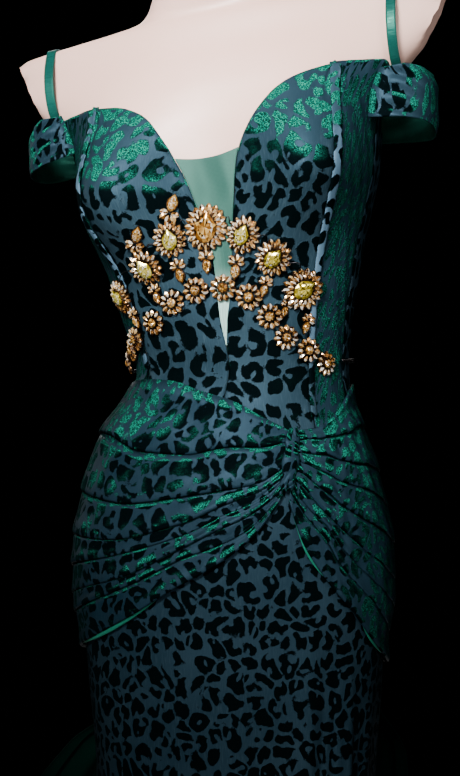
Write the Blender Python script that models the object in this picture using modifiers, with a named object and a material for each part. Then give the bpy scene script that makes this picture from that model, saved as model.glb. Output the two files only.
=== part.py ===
# Off-the-shoulder leopard satin gown with a draped hip, a plunging mesh insert, a jewelled
# belt and an emerald train, on a limbless dress form with a pole and a round base.
# Metres, +Z up. The origin is on the floor under the pole, and the front looks along -Y.
# Left and right are the wearer's, so left is +X.
import math

import bmesh
import bpy
import numpy as np
from mathutils import Matrix, Vector
from mathutils.bvhtree import BVHTree

# The figure: one row a level, sizes from the axis of the body.
# wing widens a level at its sides into the shoulder, shift moves it sideways.
SECTION_COLUMNS = ("height", "half_width", "front", "back", "wing", "shift")
SECTIONS = (
    (0.000, 0.200, 0.180, 0.180, 0.00, 0.000),
    (0.120, 0.170, 0.150, 0.150, 0.00, 0.000),
    (0.300, 0.144, 0.124, 0.122, 0.00, 0.001),
    (0.460, 0.133, 0.111, 0.109, 0.00, 0.002),
    (0.560, 0.133, 0.107, 0.105, 0.00, 0.002),
    (0.664, 0.136, 0.104, 0.105, 0.00, 0.002),
    (0.740, 0.143, 0.104, 0.110, 0.00, 0.001),
    (0.800, 0.148, 0.104, 0.116, 0.00, 0.000),
    (0.850, 0.157, 0.104, 0.120, 0.00, -0.001),
    (0.900, 0.156, 0.102, 0.121, 0.00, -0.002),
    (0.950, 0.146, 0.098, 0.114, 0.00, -0.002),
    (1.000, 0.131, 0.091, 0.098, 0.00, -0.002),
    (1.040, 0.112, 0.083, 0.080, 0.00, 0.004),
    (1.070, 0.104, 0.080, 0.072, 0.00, 0.009),
    (1.100, 0.108, 0.082, 0.074, 0.00, 0.007),
    (1.140, 0.117, 0.085, 0.082, 0.00, 0.004),
    (1.180, 0.1265, 0.085, 0.090, 0.00, 0.002),
    (1.210, 0.136, 0.083, 0.094, 0.00, 0.000),
    (1.250, 0.147, 0.082, 0.097, 0.00, -0.003),
    (1.280, 0.150, 0.083, 0.099, 0.01, -0.005),
    (1.310, 0.149, 0.084, 0.098, 0.06, -0.005),
    (1.340, 0.147, 0.081, 0.096, 0.24, -0.005),
    (1.365, 0.144, 0.074, 0.091, 0.44, -0.005),
    (1.390, 0.138, 0.063, 0.082, 0.62, -0.004),
    (1.415, 0.130, 0.055, 0.073, 0.74, -0.004),
    (1.421, 0.124, 0.052, 0.068, 0.74, -0.006),
    (1.424, 0.114, 0.050, 0.065, 0.66, -0.009),
    (1.426, 0.102, 0.050, 0.062, 0.46, -0.011),
    (1.428, 0.091, 0.050, 0.060, 0.22, -0.013),
    (1.432, 0.081, 0.051, 0.058, 0.06, -0.014),
    (1.442, 0.073, 0.053, 0.056, 0.00, -0.015),
    (1.465, 0.065, 0.054, 0.054, 0.00, -0.016),
    (1.510, 0.058, 0.053, 0.052, 0.00, -0.016),
    (1.560, 0.055, 0.052, 0.051, 0.00, -0.017),
)
ROUNDNESS = 2.25  # the power of a level's outline: 2 is an ellipse
WING_POWER = 6

# The bust, on each side.
BUST_ANGLE = math.radians(38)
BUST_HEIGHT = 1.246
BUST_DEPTH = 0.043
BUST_SPREAD = 0.42
BUST_ABOVE, BUST_BELOW = 0.075, 0.055

# The shoulders lean: the left one is higher.
LEAN = math.tan(math.radians(8.5))
LEAN_FROM, LEAN_FULL = 0.98, 1.24
LEAN_ENDS, LEAN_GONE = 1.43, 1.54

# The flat ends of the form's shoulders slope inwards.
CAP_REACH, CAP_HEIGHT = 0.227, 1.421
CAP_SLOPE = math.tan(math.radians(25.5))
SHOULDER_FROM = 1.275

# The form and its stand.
FORM_FOOT, FORM_TOP = 0.760, 1.560
FORM_INSET = 0.0026  # how far it stays inside the figure that the cloth follows
FORM_COLUMNS = 32
FORM_ROWS = (
    0.760, 0.820, 0.875, 0.930, 0.985, 1.035, 1.070, 1.105, 1.150, 1.190, 1.222, 1.250,
    1.280, 1.310, 1.340, 1.370, 1.395, 1.415, 1.421, 1.424, 1.427, 1.432, 1.448, 1.500,
    1.560,
)
POLE_RADIUS = 0.014
BASE_RADIUS, BASE_THICK = 0.160, 0.010
BOSS_RADIUS, BOSS_HEIGHT = 0.028, 0.045

# The cloth: how far its inner face is from the figure, and how thick it is.
SEAM = 0.0003
SEAT_GAP = 0.0004
CLOTH = 0.0016
BODICE_OUT = 0.0009
MESH_CLOTH = 0.0010
CASING_OUT = BODICE_OUT + CLOTH + 0.0013
DRAPE_OUT = 0.0045
DRAPE_CLOTH = 0.0015
KNOT_OUT = 0.0073

# The neckline: how far its edges are from its own middle line, and where that line runs.
NECKLINE_COLUMNS = ("height", "half_gap", "middle")
NECKLINE = (
    (0.975, 0.0003, 0.0070),
    (1.054, 0.0003, 0.0065),
    (1.086, 0.0003, 0.0055),
    (1.110, 0.0028, 0.0050),
    (1.131, 0.0054, 0.0065),
    (1.157, 0.0080, 0.0080),
    (1.183, 0.0104, 0.0080),
    (1.210, 0.0153, 0.0062),
    (1.235, 0.0205, 0.0048),
    (1.250, 0.0237, 0.0035),
    (1.277, 0.0325, 0.0010),
    (1.305, 0.0480, -0.0004),
    (1.321, 0.0610, 0.0000),
    (1.331, 0.0760, 0.0000),
    (1.337, 0.0900, 0.0000),
    (1.341, 0.1080, 0.0000),
    (1.345, 0.1260, 0.0000),
)
# Rows of the panels: heights at the front, shares of the height at the sides and the back.
FRONT_ROWS = (
    0.9753, 1.000, 1.023, 1.045, 1.067, 1.090, 1.115, 1.143, 1.172, 1.201, 1.230, 1.255,
    1.277, 1.296, 1.311, 1.323, 1.332, 1.339, 1.345,
)
SIDE_ROWS = (0, 0.085, 0.16, 0.23, 0.30, 0.37, 0.45, 0.54, 0.63, 0.72, 0.81, 0.87, 0.93, 1)
BACK_ROWS = (0, 0.09, 0.17, 0.245, 0.32, 0.395, 0.48, 0.58, 0.69, 0.80, 0.90, 1)
MESH_TOP = 1.268
MESH_FOOT = 1.092
MESH_SIDE_RISE = 0.008  # its top edge sags between its corners by this
WAIST_SEAM = 0.975
BODICE_TOP = 1.345
PRINCESS = math.radians(47.5)
SIDE_SEAM = math.radians(78)
# Half of each upright seam's gap, in radians.
PRINCESS_GAP, SIDE_GAP, BACK_GAP, SKIRT_GAP = 0.0033, 0.0018, 0.004, 0.001
CASING_FOOT = {"left": 1.024, "right": 1.076}
ARMHOLE_START, ARMHOLE_END = math.radians(66), math.radians(92)
ARMHOLE_FOOT = 1.280
BACK_TOP = 1.262

# The draped hip: its edges from the knot to the middle of the back.
DRAPE_COLUMNS = ("upper_degrees", "upper", "lower_degrees", "lower")
RIGHT_DRAPE = (
    (34.5, 1.010, 28.0, 0.950),
    (24.5, 1.021, 16.0, 0.911),
    (8.0, 1.039, 3.0, 0.884),
    (-9.0, 1.049, -9.0, 0.866),
    (-28.0, 1.060, -28.0, 0.835),
    (-48.0, 1.062, -48.0, 0.813),
    (-75.0, 1.056, -75.0, 0.795),
    (-103.0, 1.049, -103.0, 0.785),
    (-130.0, 1.040, -130.0, 0.780),
    (-156.0, 1.030, -156.0, 0.778),
    (-179.7, 1.028, -179.7, 0.778),
)
LEFT_DRAPE = (
    (37.2, 1.010, 30.4, 0.946),
    (46.0, 1.012, 33.5, 0.911),
    (55.0, 1.019, 42.5, 0.871),
    (66.0, 1.031, 52.0, 0.844),
    (81.0, 1.046, 67.0, 0.814),
    (100.0, 1.052, 90.0, 0.788),
    (124.0, 1.046, 118.0, 0.778),
    (151.0, 1.034, 149.0, 0.776),
    (179.7, 1.028, 179.7, 0.778),
)
# Where each fold of the drape starts and ends, as shares from the lower edge up.
RIGHT_FOLDS = (0.0, 0.09, 0.17, 0.32, 0.46, 0.60, 0.72, 1.0)
LEFT_FOLDS = (0.0, 0.14, 0.275, 0.40, 0.585, 0.72, 0.85, 1.0)
FOLD_RISE = 0.0046
FOLD_LAP = 0.42  # under 1 moves a fold's crest towards its lower edge
FOLD_STEPS = (0.0, 0.18, 0.55)
KNOT_TOP, KNOT_FOOT = (math.radians(35.8), 1.012), (math.radians(29.6), 0.954)
KNOT_HALF_WIDTH = 0.062
KNOT_SWELL, KNOT_RIB = 0.0050, 0.0016

# Soft upright folds of the skirt, each growing from its start down to the hem:
# degrees, spread in degrees, rise, start.
SKIRT_FOLDS = (
    (38.0, 5.5, 0.009, 0.880),
    (55.0, 5.5, 0.010, 0.830),
    (72.0, 7.0, 0.007, 0.790),
    (-38.0, 9.0, 0.006, 0.760),
    (-70.0, 9.0, 0.007, 0.740),
    (4.0, 9.0, 0.005, 0.800),
    (108.0, 9.0, 0.007, 0.720),
    (-108.0, 9.0, 0.007, 0.720),
)
FOLD_GROWS_OVER = 0.22
HEM = 0.006
SKIRT_ROWS = (
    0.006, 0.130, 0.250, 0.360, 0.460, 0.550, 0.630, 0.700, 0.755, 0.805, 0.850, 0.890,
    0.930, 0.9747,
)

# The train: a fan that hangs from under the drape at the back and lies on the floor.
TRAIN_TOP = 0.766
TRAIN_TOP_ANGLE = math.radians(52)
TRAIN_FOOT = 0.0035
TRAIN_HALF_WIDTH = (0.118, 0.42)
TRAIN_LENGTH = 0.50
TRAIN_SHIFT = -0.058
TRAIN_WAVES = 8
TRAIN_GORES = 4
TRAIN_RISE = 0.026

# The loops off the shoulders.
SLEEVE_FRONT, SLEEVE_BACK = math.radians(66), math.radians(118)
SLEEVE_HEIGHTS = {"left": (1.280, 1.336), "right": (1.299, 1.350)}
SLEEVE_REACH = 0.208
SLEEVE_FULLNESS = 0.42
SLEEVE_SAG = {"left": 0.012, "right": 0.004}
SLEEVE_CLEAR = {"left": 0.0017, "right": 0.0003}
SLEEVE_ROLL, SLEEVE_TOP_FALL, SLEEVE_FOOT_RISE = 0.005, 0.008, 0.010

# The shoulder straps.
STRAP_WIDTH, STRAP_THICK = 0.0095, 0.0012
STRAP_BACK = 0.012  # how far behind the axis the straps' arc has its middle
STRAP_ACROSS = {"left": (0.168, 0.162), "right": (0.178, 0.187)}  # at the sleeve, on top
STRAP_FOOT = {"left": 1.337, "right": 1.350}
STRAP_CLEAR = {"left": (0.0040, 0.0028), "right": (0.0040, 0.0021)}  # at the sleeve, on top

# The belt: rosettes on the front of the bodice, drops between its two rows, and a chain.
# A rosette's row: degrees, height, radius, petals, turn in degrees.
UPPER_ROSETTES = (
    (-50.4, 1.154, 0.0162, 12, 40),
    (-29.6, 1.178, 0.0172, 12, 25),
    (-16.5, 1.200, 0.0170, 12, 12),
    (-2.2, 1.206, 0.0206, 14, 0),
    (12.9, 1.193, 0.0172, 12, -10),
    (25.7, 1.169, 0.0176, 12, -20),
    (40.3, 1.139, 0.0190, 14, -35),
)
LOWER_ROSETTES = (
    (-75.0, 1.084, 0.0110, 8, 0),
    (-62.0, 1.096, 0.0112, 8, 0),
    (-49.8, 1.107, 0.0116, 8, 0),
    (-34.3, 1.121, 0.0120, 8, 0),
    (-21.3, 1.138, 0.0120, 8, 0),
    (-9.2, 1.147, 0.0120, 8, 0),
    (3.6, 1.146, 0.0122, 8, 0),
    (15.2, 1.135, 0.0122, 8, 0),
    (24.9, 1.116, 0.0118, 8, 0),
    (33.2, 1.096, 0.0112, 8, 0),
    (44.6, 1.084, 0.0112, 8, 0),
    (57.6, 1.071, 0.0110, 8, 0),
)
# A drop's row: degrees, height, length, turn in degrees.
DROPS = (
    (-44.5, 1.129, 0.017, 14),
    (-28.6, 1.149, 0.017, 10),
    (-15.7, 1.168, 0.019, 6),
    (-3.2, 1.173, 0.018, 0),
    (9.6, 1.164, 0.019, -6),
    (22.6, 1.143, 0.016, -12),
    (32.6, 1.122, 0.014, -16),
    (43.4, 1.107, 0.016, -20),
    (-13.4, 1.229, 0.022, 150),
    (-28.4, 1.206, 0.022, 140),
)
CHAIN_RADIUS = 0.0013
CHAIN_HEIGHT = 1.074
CHAIN_START = 0.135
CHAIN_CLEAR = 0.0026
CHAIN_POINTS = 52

SATIN = ("leopard_satin", (0.06, 0.13, 0.18, 1), 0.45, 0.0)
EMERALD = ("emerald_satin", (0.01, 0.20, 0.14, 1), 0.40, 0.0)
MESH = ("mint_mesh", (0.45, 0.68, 0.60, 1), 0.6, 0.0)
RIBBON = ("emerald_ribbon", (0.04, 0.36, 0.28, 1), 0.35, 0.0)
STONES = ("amber_stones", (0.75, 0.45, 0.15, 1), 0.15, 0.3)
BLACK_METAL = ("black_chain", (0.02, 0.02, 0.02, 1), 0.35, 0.9)
FORM_PAINT = ("form_paint", (0.82, 0.76, 0.73, 1), 0.4, 0.0)
STAND_METAL = ("stand_metal", (0.55, 0.55, 0.56, 1), 0.3, 0.9)


def smooth(x, xs, ys):
    """A monotone curve through the points of a table."""
    xs, ys = np.asarray(xs, float), np.asarray(ys, float)
    step = np.diff(xs)
    slope = np.diff(ys) / step
    tangent = np.zeros_like(ys)
    rising = slope[:-1] * slope[1:] > 0
    tangent[1:-1][rising] = 2 / (1 / slope[:-1][rising] + 1 / slope[1:][rising])
    x = np.clip(x, xs[0], xs[-1])
    i = np.clip(np.searchsorted(xs, x) - 1, 0, len(step) - 1)
    t = (x - xs[i]) / step[i]
    start = (1 + 2 * t) * (1 - t) ** 2 * ys[i] + t * (1 - t) ** 2 * step[i] * tangent[i]
    end = t * t * (3 - 2 * t) * ys[i + 1] - t * t * (1 - t) * step[i] * tangent[i + 1]
    return start + end


def ramp(x, low, high):
    """0 before low, 1 after high, and a soft step between them."""
    t = np.clip((np.asarray(x, float) - low) / (high - low), 0, 1)
    return t * t * (3 - 2 * t)


def column(table, columns, name):
    return [row[columns.index(name)] for row in table]


def section(name, z):
    heights = column(SECTIONS, SECTION_COLUMNS, "height")
    return smooth(z, heights, column(SECTIONS, SECTION_COLUMNS, name))


def bare_point(angle, z):
    """A point of the upright figure: angle is 0 at the front and grows towards +X."""
    sine, cosine = np.sin(angle), np.cos(angle)
    reach = (np.abs(sine) ** ROUNDNESS + np.abs(cosine) ** ROUNDNESS) ** (-1 / ROUNDNESS)
    depth = np.where(cosine > 0, section("front", z), section("back", z))
    wing = 1 + section("wing", z) * np.abs(sine) ** WING_POWER
    x = section("half_width", z) * reach * sine * wing
    y = -depth * reach * cosine
    fall = np.where(z > BUST_HEIGHT, BUST_ABOVE, BUST_BELOW)
    for side in (-1, 1):
        turn = (np.remainder(angle - side * BUST_ANGLE + np.pi, 2 * np.pi) - np.pi) / BUST_SPREAD
        bump = BUST_DEPTH * np.exp(-turn**2 - ((z - BUST_HEIGHT) / fall) ** 2)
        x = x + side * 0.3 * bump
        y = y - bump
    reach_at_cap = CAP_REACH - np.abs(CAP_HEIGHT - z) * CAP_SLOPE
    shoulder = z > SHOULDER_FROM
    x = np.where(shoulder, np.clip(x, -reach_at_cap, reach_at_cap), x)
    return np.stack([x + section("shift", z), y, z + 0 * x], axis=-1)


def lean(points):
    """The shoulders' lean, put on points of the upright figure."""
    leaned = np.array(points, float)
    z = leaned[..., 2]
    share = ramp(z, LEAN_FROM, LEAN_FULL) * (1 - ramp(z, LEAN_ENDS, LEAN_GONE))
    leaned[..., 2] = z + leaned[..., 0] * LEAN * share
    return leaned


def surface(angle, z, out=0.0):
    """A point that lies out from the figure, square to it, with the lean."""
    angle, z = np.broadcast_arrays(np.asarray(angle, float), np.asarray(z, float))
    step = 1e-4
    across = bare_point(angle + step, z) - bare_point(angle - step, z)
    up = bare_point(angle, z + step) - bare_point(angle, z - step)
    normal = np.cross(across, up)
    normal /= np.maximum(np.linalg.norm(normal, axis=-1, keepdims=True), 1e-12)
    return lean(bare_point(angle, z) + normal * np.asarray(out, float)[..., None])


def angle_at(across, z):
    """The angle where the front of the figure is that far across, by halving."""
    low, high = -1.6 + 0 * across, 1.6 + 0 * across
    for _ in range(40):
        middle = (low + high) / 2
        under = bare_point(middle, z)[..., 0] < across
        low, high = np.where(under, middle, low), np.where(under, high, middle)
    return (low + high) / 2


def paint(obj, material):
    name, colour, roughness, metallic = material
    made = bpy.data.materials.get(name)
    if made is None:
        made = bpy.data.materials.new(name)
        made.use_nodes = True
        shader = made.node_tree.nodes["Principled BSDF"]
        shader.inputs["Base Color"].default_value = colour
        shader.inputs["Roughness"].default_value = roughness
        shader.inputs["Metallic"].default_value = metallic
        made.diffuse_color = colour
    obj.data.materials.append(made)


def add_object(name, mesh, material):
    obj = bpy.data.objects.new(name, mesh)
    bpy.data.collections[COLLECTION].objects.link(obj)
    mesh.shade_smooth()
    mesh.set_sharp_from_angle(angle=math.radians(50))
    paint(obj, material)
    return obj


def cloth(name, columns, rows, place, thickness, material):
    """A panel: a flat grid bent by place(u, v), u and v from 0 to 1, then thickened outwards."""
    grid = bmesh.new()
    bmesh.ops.create_grid(grid, x_segments=columns, y_segments=rows, size=0.5)
    flat = np.array([vertex.co for vertex in grid.verts])
    for vertex, point in zip(grid.verts, place(flat[:, 0] + 0.5, flat[:, 1] + 0.5)):
        vertex.co = point
    mesh = bpy.data.meshes.new(name)
    grid.to_mesh(mesh)
    grid.free()
    obj = add_object(name, mesh, material)
    wall = obj.modifiers.new("wall", "SOLIDIFY")
    wall.thickness = thickness
    wall.offset = 1.0
    wall.use_even_offset = False
    return obj


def mix(a, b, share):
    return a + (b - a) * share


def row_at(rows, v):
    """The entry of a table of rows at v, from 0 at its first to 1 at its last."""
    return np.interp(v * (len(rows) - 1), np.arange(len(rows)), rows)


# The form and its stand


def form_torso():
    """A closed skin through level rings, capped flat at its foot and at its neck."""
    angles = np.arange(FORM_COLUMNS) * 2 * np.pi / FORM_COLUMNS
    skin = bmesh.new()
    rings = []
    for z in FORM_ROWS:
        points = surface(angles, np.full(FORM_COLUMNS, z), -FORM_INSET)
        if z in (FORM_ROWS[0], FORM_ROWS[-1]):
            points[:, 2] = z
        rings.append([skin.verts.new(point) for point in points])
    for low, high in zip(rings, rings[1:]):
        for i in range(FORM_COLUMNS):
            j = (i + 1) % FORM_COLUMNS
            skin.faces.new((low[i], low[j], high[j], high[i]))
    skin.faces.new(rings[0][::-1])
    skin.faces.new(rings[-1])
    mesh = bpy.data.meshes.new("form_torso")
    skin.to_mesh(mesh)
    skin.free()
    return add_object("form_torso", mesh, FORM_PAINT)


def turned(name, profile, material, steps=22):
    """A turned piece: its outer side runs down the profile, which starts and ends on the axis."""
    mesh = bpy.data.meshes.new(name)
    points = [(radius, 0, z) for radius, z in profile]
    mesh.from_pydata(points, [(i, i + 1) for i in range(len(points) - 1)], [])
    obj = add_object(name, mesh, material)
    spin = obj.modifiers.new("turn", "SCREW")
    spin.steps = spin.render_steps = steps
    spin.use_merge_vertices = True
    spin.merge_threshold = 0.0001
    return obj


def stand():
    edge = 0.002
    top_of_boss = BASE_THICK + BOSS_HEIGHT
    turned(
        "stand_base",
        (
            (0, top_of_boss),
            (BOSS_RADIUS - edge, top_of_boss),
            (BOSS_RADIUS, top_of_boss - edge),
            (BOSS_RADIUS, BASE_THICK + edge),
            (BOSS_RADIUS + edge, BASE_THICK),
            (BASE_RADIUS - edge, BASE_THICK),
            (BASE_RADIUS, BASE_THICK - edge),
            (BASE_RADIUS, 0),
            (0, 0),
        ),
        STAND_METAL,
    )
    foot, head = top_of_boss + SEAM, FORM_FOOT - SEAM
    turned(
        "stand_pole",
        ((0, head), (POLE_RADIUS, head), (POLE_RADIUS, foot), (0, foot)),
        STAND_METAL,
        steps=20,
    )


# The bodice


def neck_place(z, share):
    """The angle across the neckline: share is -1 at its right edge and 1 at its left edge."""
    heights = column(NECKLINE, NECKLINE_COLUMNS, "height")
    half_gap = smooth(z, heights, column(NECKLINE, NECKLINE_COLUMNS, "half_gap"))
    middle = smooth(z, heights, column(NECKLINE, NECKLINE_COLUMNS, "middle"))
    return angle_at(bare_point(0 * z, z)[..., 0] + middle + share * half_gap, z)


def front_panel(side, name):
    def place(u, v):
        z = row_at(FRONT_ROWS, v)
        inner = neck_place(z, side)
        inner = side * np.minimum(side * inner, PRINCESS - 0.03)
        outer = side * (PRINCESS - PRINCESS_GAP)
        share = u if side > 0 else 1 - u
        return surface(mix(inner, outer, share), z, BODICE_OUT)

    return cloth(name, 8, len(FRONT_ROWS) - 1, place, CLOTH, SATIN)


def mesh_insert():
    def place(u, v):
        z = mix(MESH_FOOT, MESH_TOP, v)
        angle = neck_place(z, mix(-1.0, 1.0, u) * (1 - 0.04 - 0.12 * (1 - v)))
        return surface(angle, z + MESH_SIDE_RISE * (2 * u - 1) ** 2 * v**2, BODICE_OUT)

    return cloth("mesh_insert", 3, 11, place, MESH_CLOTH, MESH)


def armhole(angle):
    """The top edge of the side and back panels at an angle from the front."""
    front = mix(BODICE_TOP, ARMHOLE_FOOT, ramp(np.abs(angle), ARMHOLE_START, ARMHOLE_END))
    return mix(front, BACK_TOP, ramp(np.abs(angle), ARMHOLE_END, ARMHOLE_END + 0.7))


def side_panel(side, name):
    def place(u, v):
        share = u if side > 0 else 1 - u
        angle = side * mix(PRINCESS + PRINCESS_GAP, SIDE_SEAM - SIDE_GAP, share)
        z = mix(WAIST_SEAM + SEAM, armhole(angle), row_at(SIDE_ROWS, v))
        return surface(angle, z, BODICE_OUT)

    return cloth(name, 4, len(SIDE_ROWS) - 1, place, CLOTH, SATIN)


def back_panel(side, name):
    def place(u, v):
        share = u if side > 0 else 1 - u
        angle = side * mix(SIDE_SEAM + SIDE_GAP, math.pi - BACK_GAP, share)
        z = mix(WAIST_SEAM + SEAM, armhole(angle), row_at(BACK_ROWS, v))
        return surface(angle, z, BODICE_OUT)

    return cloth(name, 11, len(BACK_ROWS) - 1, place, CLOTH, SATIN)


def casing_half_width(z):
    """In radians: wider at the bust than at the waist."""
    return mix(0.024, 0.034, ramp(z, 1.05, 1.30))


def casing(side, name, foot):
    """The boned casing along the princess seam."""

    def place(u, v):
        z = mix(foot, BODICE_TOP - 0.004, v)
        return surface(side * PRINCESS + mix(-1, 1, u) * casing_half_width(z), z, CASING_OUT)

    return cloth(name, 1, 16, place, CLOTH, SATIN)


# The draped hip


def drape_place(table, folds, along, up):
    """A point of the drape: along from the knot to the middle back, up from its lower edge."""
    stations = np.linspace(0, 1, len(table))
    edge = {name: smooth(along, stations, column(table, DRAPE_COLUMNS, name)) for name in DRAPE_COLUMNS}
    angle = np.radians(mix(edge["lower_degrees"], edge["upper_degrees"], up))
    i = np.clip(np.searchsorted(folds, up, side="right") - 1, 0, len(folds) - 2)
    low, high = np.asarray(folds)[i], np.asarray(folds)[i + 1]
    crest = np.sin(np.pi * np.clip((up - low) / (high - low), 0, 1) ** FOLD_LAP)
    grow = 0.6 * ramp(along, 0.03, 0.08) + 0.4 * ramp(along, 0.05, 0.30)
    grow = grow * (1 - 0.4 * ramp(along, 0.5, 1.0))
    return surface(angle, mix(edge["lower"], edge["upper"], up), DRAPE_OUT + FOLD_RISE * crest * grow)


def drape(side, name, table, folds, columns):
    rows = [mix(low, high, step) for low, high in zip(folds, folds[1:]) for step in FOLD_STEPS]
    rows.append(1.0)

    def place(u, v):
        up = row_at(rows, v)
        along = u if side > 0 else 1 - u
        return drape_place(table, folds, along, up)

    return cloth(name, columns, len(rows) - 1, place, DRAPE_CLOTH, SATIN)


def knot():
    """The ruched tuck where the folds of the drape meet."""

    def place(u, v):
        waist = 0.6 + 0.4 * np.sin(np.pi * v)
        angle = mix(KNOT_FOOT[0], KNOT_TOP[0], v) + mix(-1, 1, u) * KNOT_HALF_WIDTH * waist
        z = mix(KNOT_FOOT[1], KNOT_TOP[1], v)
        swell = np.sin(np.pi * u) ** 0.7 * np.sin(np.pi * np.clip(v, 0.02, 0.98)) ** 0.5
        ribs = KNOT_RIB * np.cos(6 * np.pi * v) * np.sin(np.pi * u)
        return surface(angle, z, KNOT_OUT + KNOT_SWELL * swell + ribs)

    return cloth("drape_knot", 4, 12, place, CLOTH, SATIN)


# The skirt and the train


def skirt_out(angle, z):
    """How far the skirt's soft folds stand out."""
    out = np.full(np.shape(z), BODICE_OUT)
    for degrees, spread, rise, start in SKIRT_FOLDS:
        turn = (angle - math.radians(degrees)) / math.radians(spread)
        out = out + rise * np.exp(-(turn**2)) * ramp(start - z, 0, FOLD_GROWS_OVER)
    return out


def skirt_panel(name, first, last, columns):
    def place(u, v):
        angle = mix(first, last, u)
        z = row_at(SKIRT_ROWS, v)
        return surface(angle, z, skirt_out(np.where(angle > np.pi, angle - 2 * np.pi, angle), z))

    return cloth(name, columns, len(SKIRT_ROWS) - 1, place, CLOTH, SATIN)


def train_gore(name, first, last):
    """A gore of the fan that leaves the skirt under the drape and runs out along the floor."""

    def place(u, v):
        down = (1 - v) ** 1.25
        wide_here = 2 * mix(*TRAIN_HALF_WIDTH, down**0.68)
        half_turn = mix(1, -1, mix(first, last, u) - 0.6 * SEAM / wide_here * (2 * u - 1))
        wave = TRAIN_RISE * down**0.8 * np.cos(np.pi * TRAIN_WAVES * half_turn)
        z = TRAIN_FOOT + (TRAIN_TOP - TRAIN_FOOT) * (1 - down) ** 1.35
        narrow, wide = TRAIN_HALF_WIDTH
        half_width = narrow + (wide - narrow) * down**0.68 + wave
        length = TRAIN_LENGTH * down**1.8 + wave
        swing = half_turn * np.pi / 2
        fan = np.stack(
            [
                half_width * np.sin(swing) + TRAIN_SHIFT * ramp(down, 0, 0.2),
                section("back", z) + 0.008 + 0.02 * ramp(down, 0, 0.3) + length * np.cos(swing),
                z + 0.35 * np.clip(wave, 0, None) * ramp(down, 0.3, 1.0) * (1 - down**6),
            ],
            axis=-1,
        )
        top = surface(np.pi - half_turn * TRAIN_TOP_ANGLE, z, BODICE_OUT + CLOTH + 0.0006)
        return mix(top, fan, ramp(down, 0.0, 0.10)[..., None])

    return cloth(name, 8, 9, place, CLOTH, EMERALD)


# Sleeves and straps


def sleeve(side, name, word):
    """An open loop of cloth from the side of the bodice round to its back."""
    foot, top = SLEEVE_HEIGHTS[word]

    def place(u, v):
        share = u if side > 0 else 1 - u
        bulge = np.sin(np.pi * share) ** SLEEVE_FULLNESS
        z = mix(foot + SLEEVE_FOOT_RISE * (1 - bulge), top, v)
        out = BODICE_OUT + CLOTH + SLEEVE_CLEAR[word]
        front = surface(0 * z + side * SLEEVE_FRONT, z, out)
        back = surface(0 * z + side * SLEEVE_BACK, z, out)
        rolled = SLEEVE_ROLL * bulge * (ramp(v, 0.75, 1.0) + 0.4 * ramp(1 - v, 0.8, 1.0))
        points = mix(front, back, ((1 - np.cos(np.pi * share)) / 2)[..., None])
        widest = side * SLEEVE_REACH + section("shift", top)
        points[..., 0] = mix(points[..., 0], widest, bulge) - side * rolled
        sag = SLEEVE_SAG[word] * ramp(share, 0.15, 0.75) * (1 - v)
        fall = SLEEVE_TOP_FALL * np.sin(np.pi * share) ** 2 * v
        points[..., 2] = z - sag - fall + points[..., 0] * LEAN
        return points

    return cloth(name, 18, 4, place, CLOTH, SATIN)


def strap(side, name, word, form):
    """A ribbon over the shoulder: rays from inside the form find how far out it lies."""
    tree = BVHTree.FromObject(form, bpy.context.evaluated_depsgraph_get())
    low_across, top_across = STRAP_ACROSS[word]
    foot = STRAP_FOOT[word]
    turns = np.radians(np.linspace(-90, 90, 19))

    def ray_start(turn, offset):
        across = side * mix(low_across, top_across, math.cos(turn)) + offset * STRAP_WIDTH
        return Vector((across, STRAP_BACK, foot + across * LEAN))

    line = []
    for turn in turns:
        away = Vector((0, math.sin(turn), math.cos(turn)))
        reach = 0.0
        for offset in (-0.6, 0, 0.6):
            start = ray_start(turn, offset)
            hit = tree.ray_cast(start, away)[0]
            if hit is not None:
                reach = max(reach, (hit - start).length)
        line.append(reach + mix(*STRAP_CLEAR[word], math.cos(turn) ** 0.5))
    # A taut ribbon bridges hollows, so each reach is at least the mean of its neighbours.
    for _ in range(6):
        for i in range(1, len(line) - 1):
            line[i] = max(line[i], (line[i - 1] + line[i + 1]) / 2)

    def place(u, v):
        turn = np.interp(u, np.linspace(0, 1, len(turns)), turns)
        reach = np.interp(u, np.linspace(0, 1, len(turns)), line)
        across = side * mix(low_across, top_across, np.cos(turn)) + mix(0.5, -0.5, v) * STRAP_WIDTH
        z = foot + across * LEAN + reach * np.cos(turn)
        return np.stack([across, STRAP_BACK + reach * np.sin(turn), z], axis=-1)

    return cloth(name, 18, 1, place, STRAP_THICK, RIBBON)


# The belt


def cloth_under_belt():
    """The made faces that the belt lies on: their points and a tree to cast rays at."""
    depsgraph = bpy.context.evaluated_depsgraph_get()
    points, faces = [], []
    for obj in bpy.data.collections[COLLECTION].objects:
        if not obj.name.startswith(("bodice", "drape", "skirt")):
            continue
        made = obj.evaluated_get(depsgraph)
        mesh = made.to_mesh()
        first = len(points)
        points += [made.matrix_world @ vertex.co for vertex in mesh.vertices]
        mesh.calc_loop_triangles()
        faces += [[first + i for i in triangle.vertices] for triangle in mesh.loop_triangles]
        made.to_mesh_clear()
    return np.array(points), BVHTree.FromPolygons(points, faces)


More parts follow.
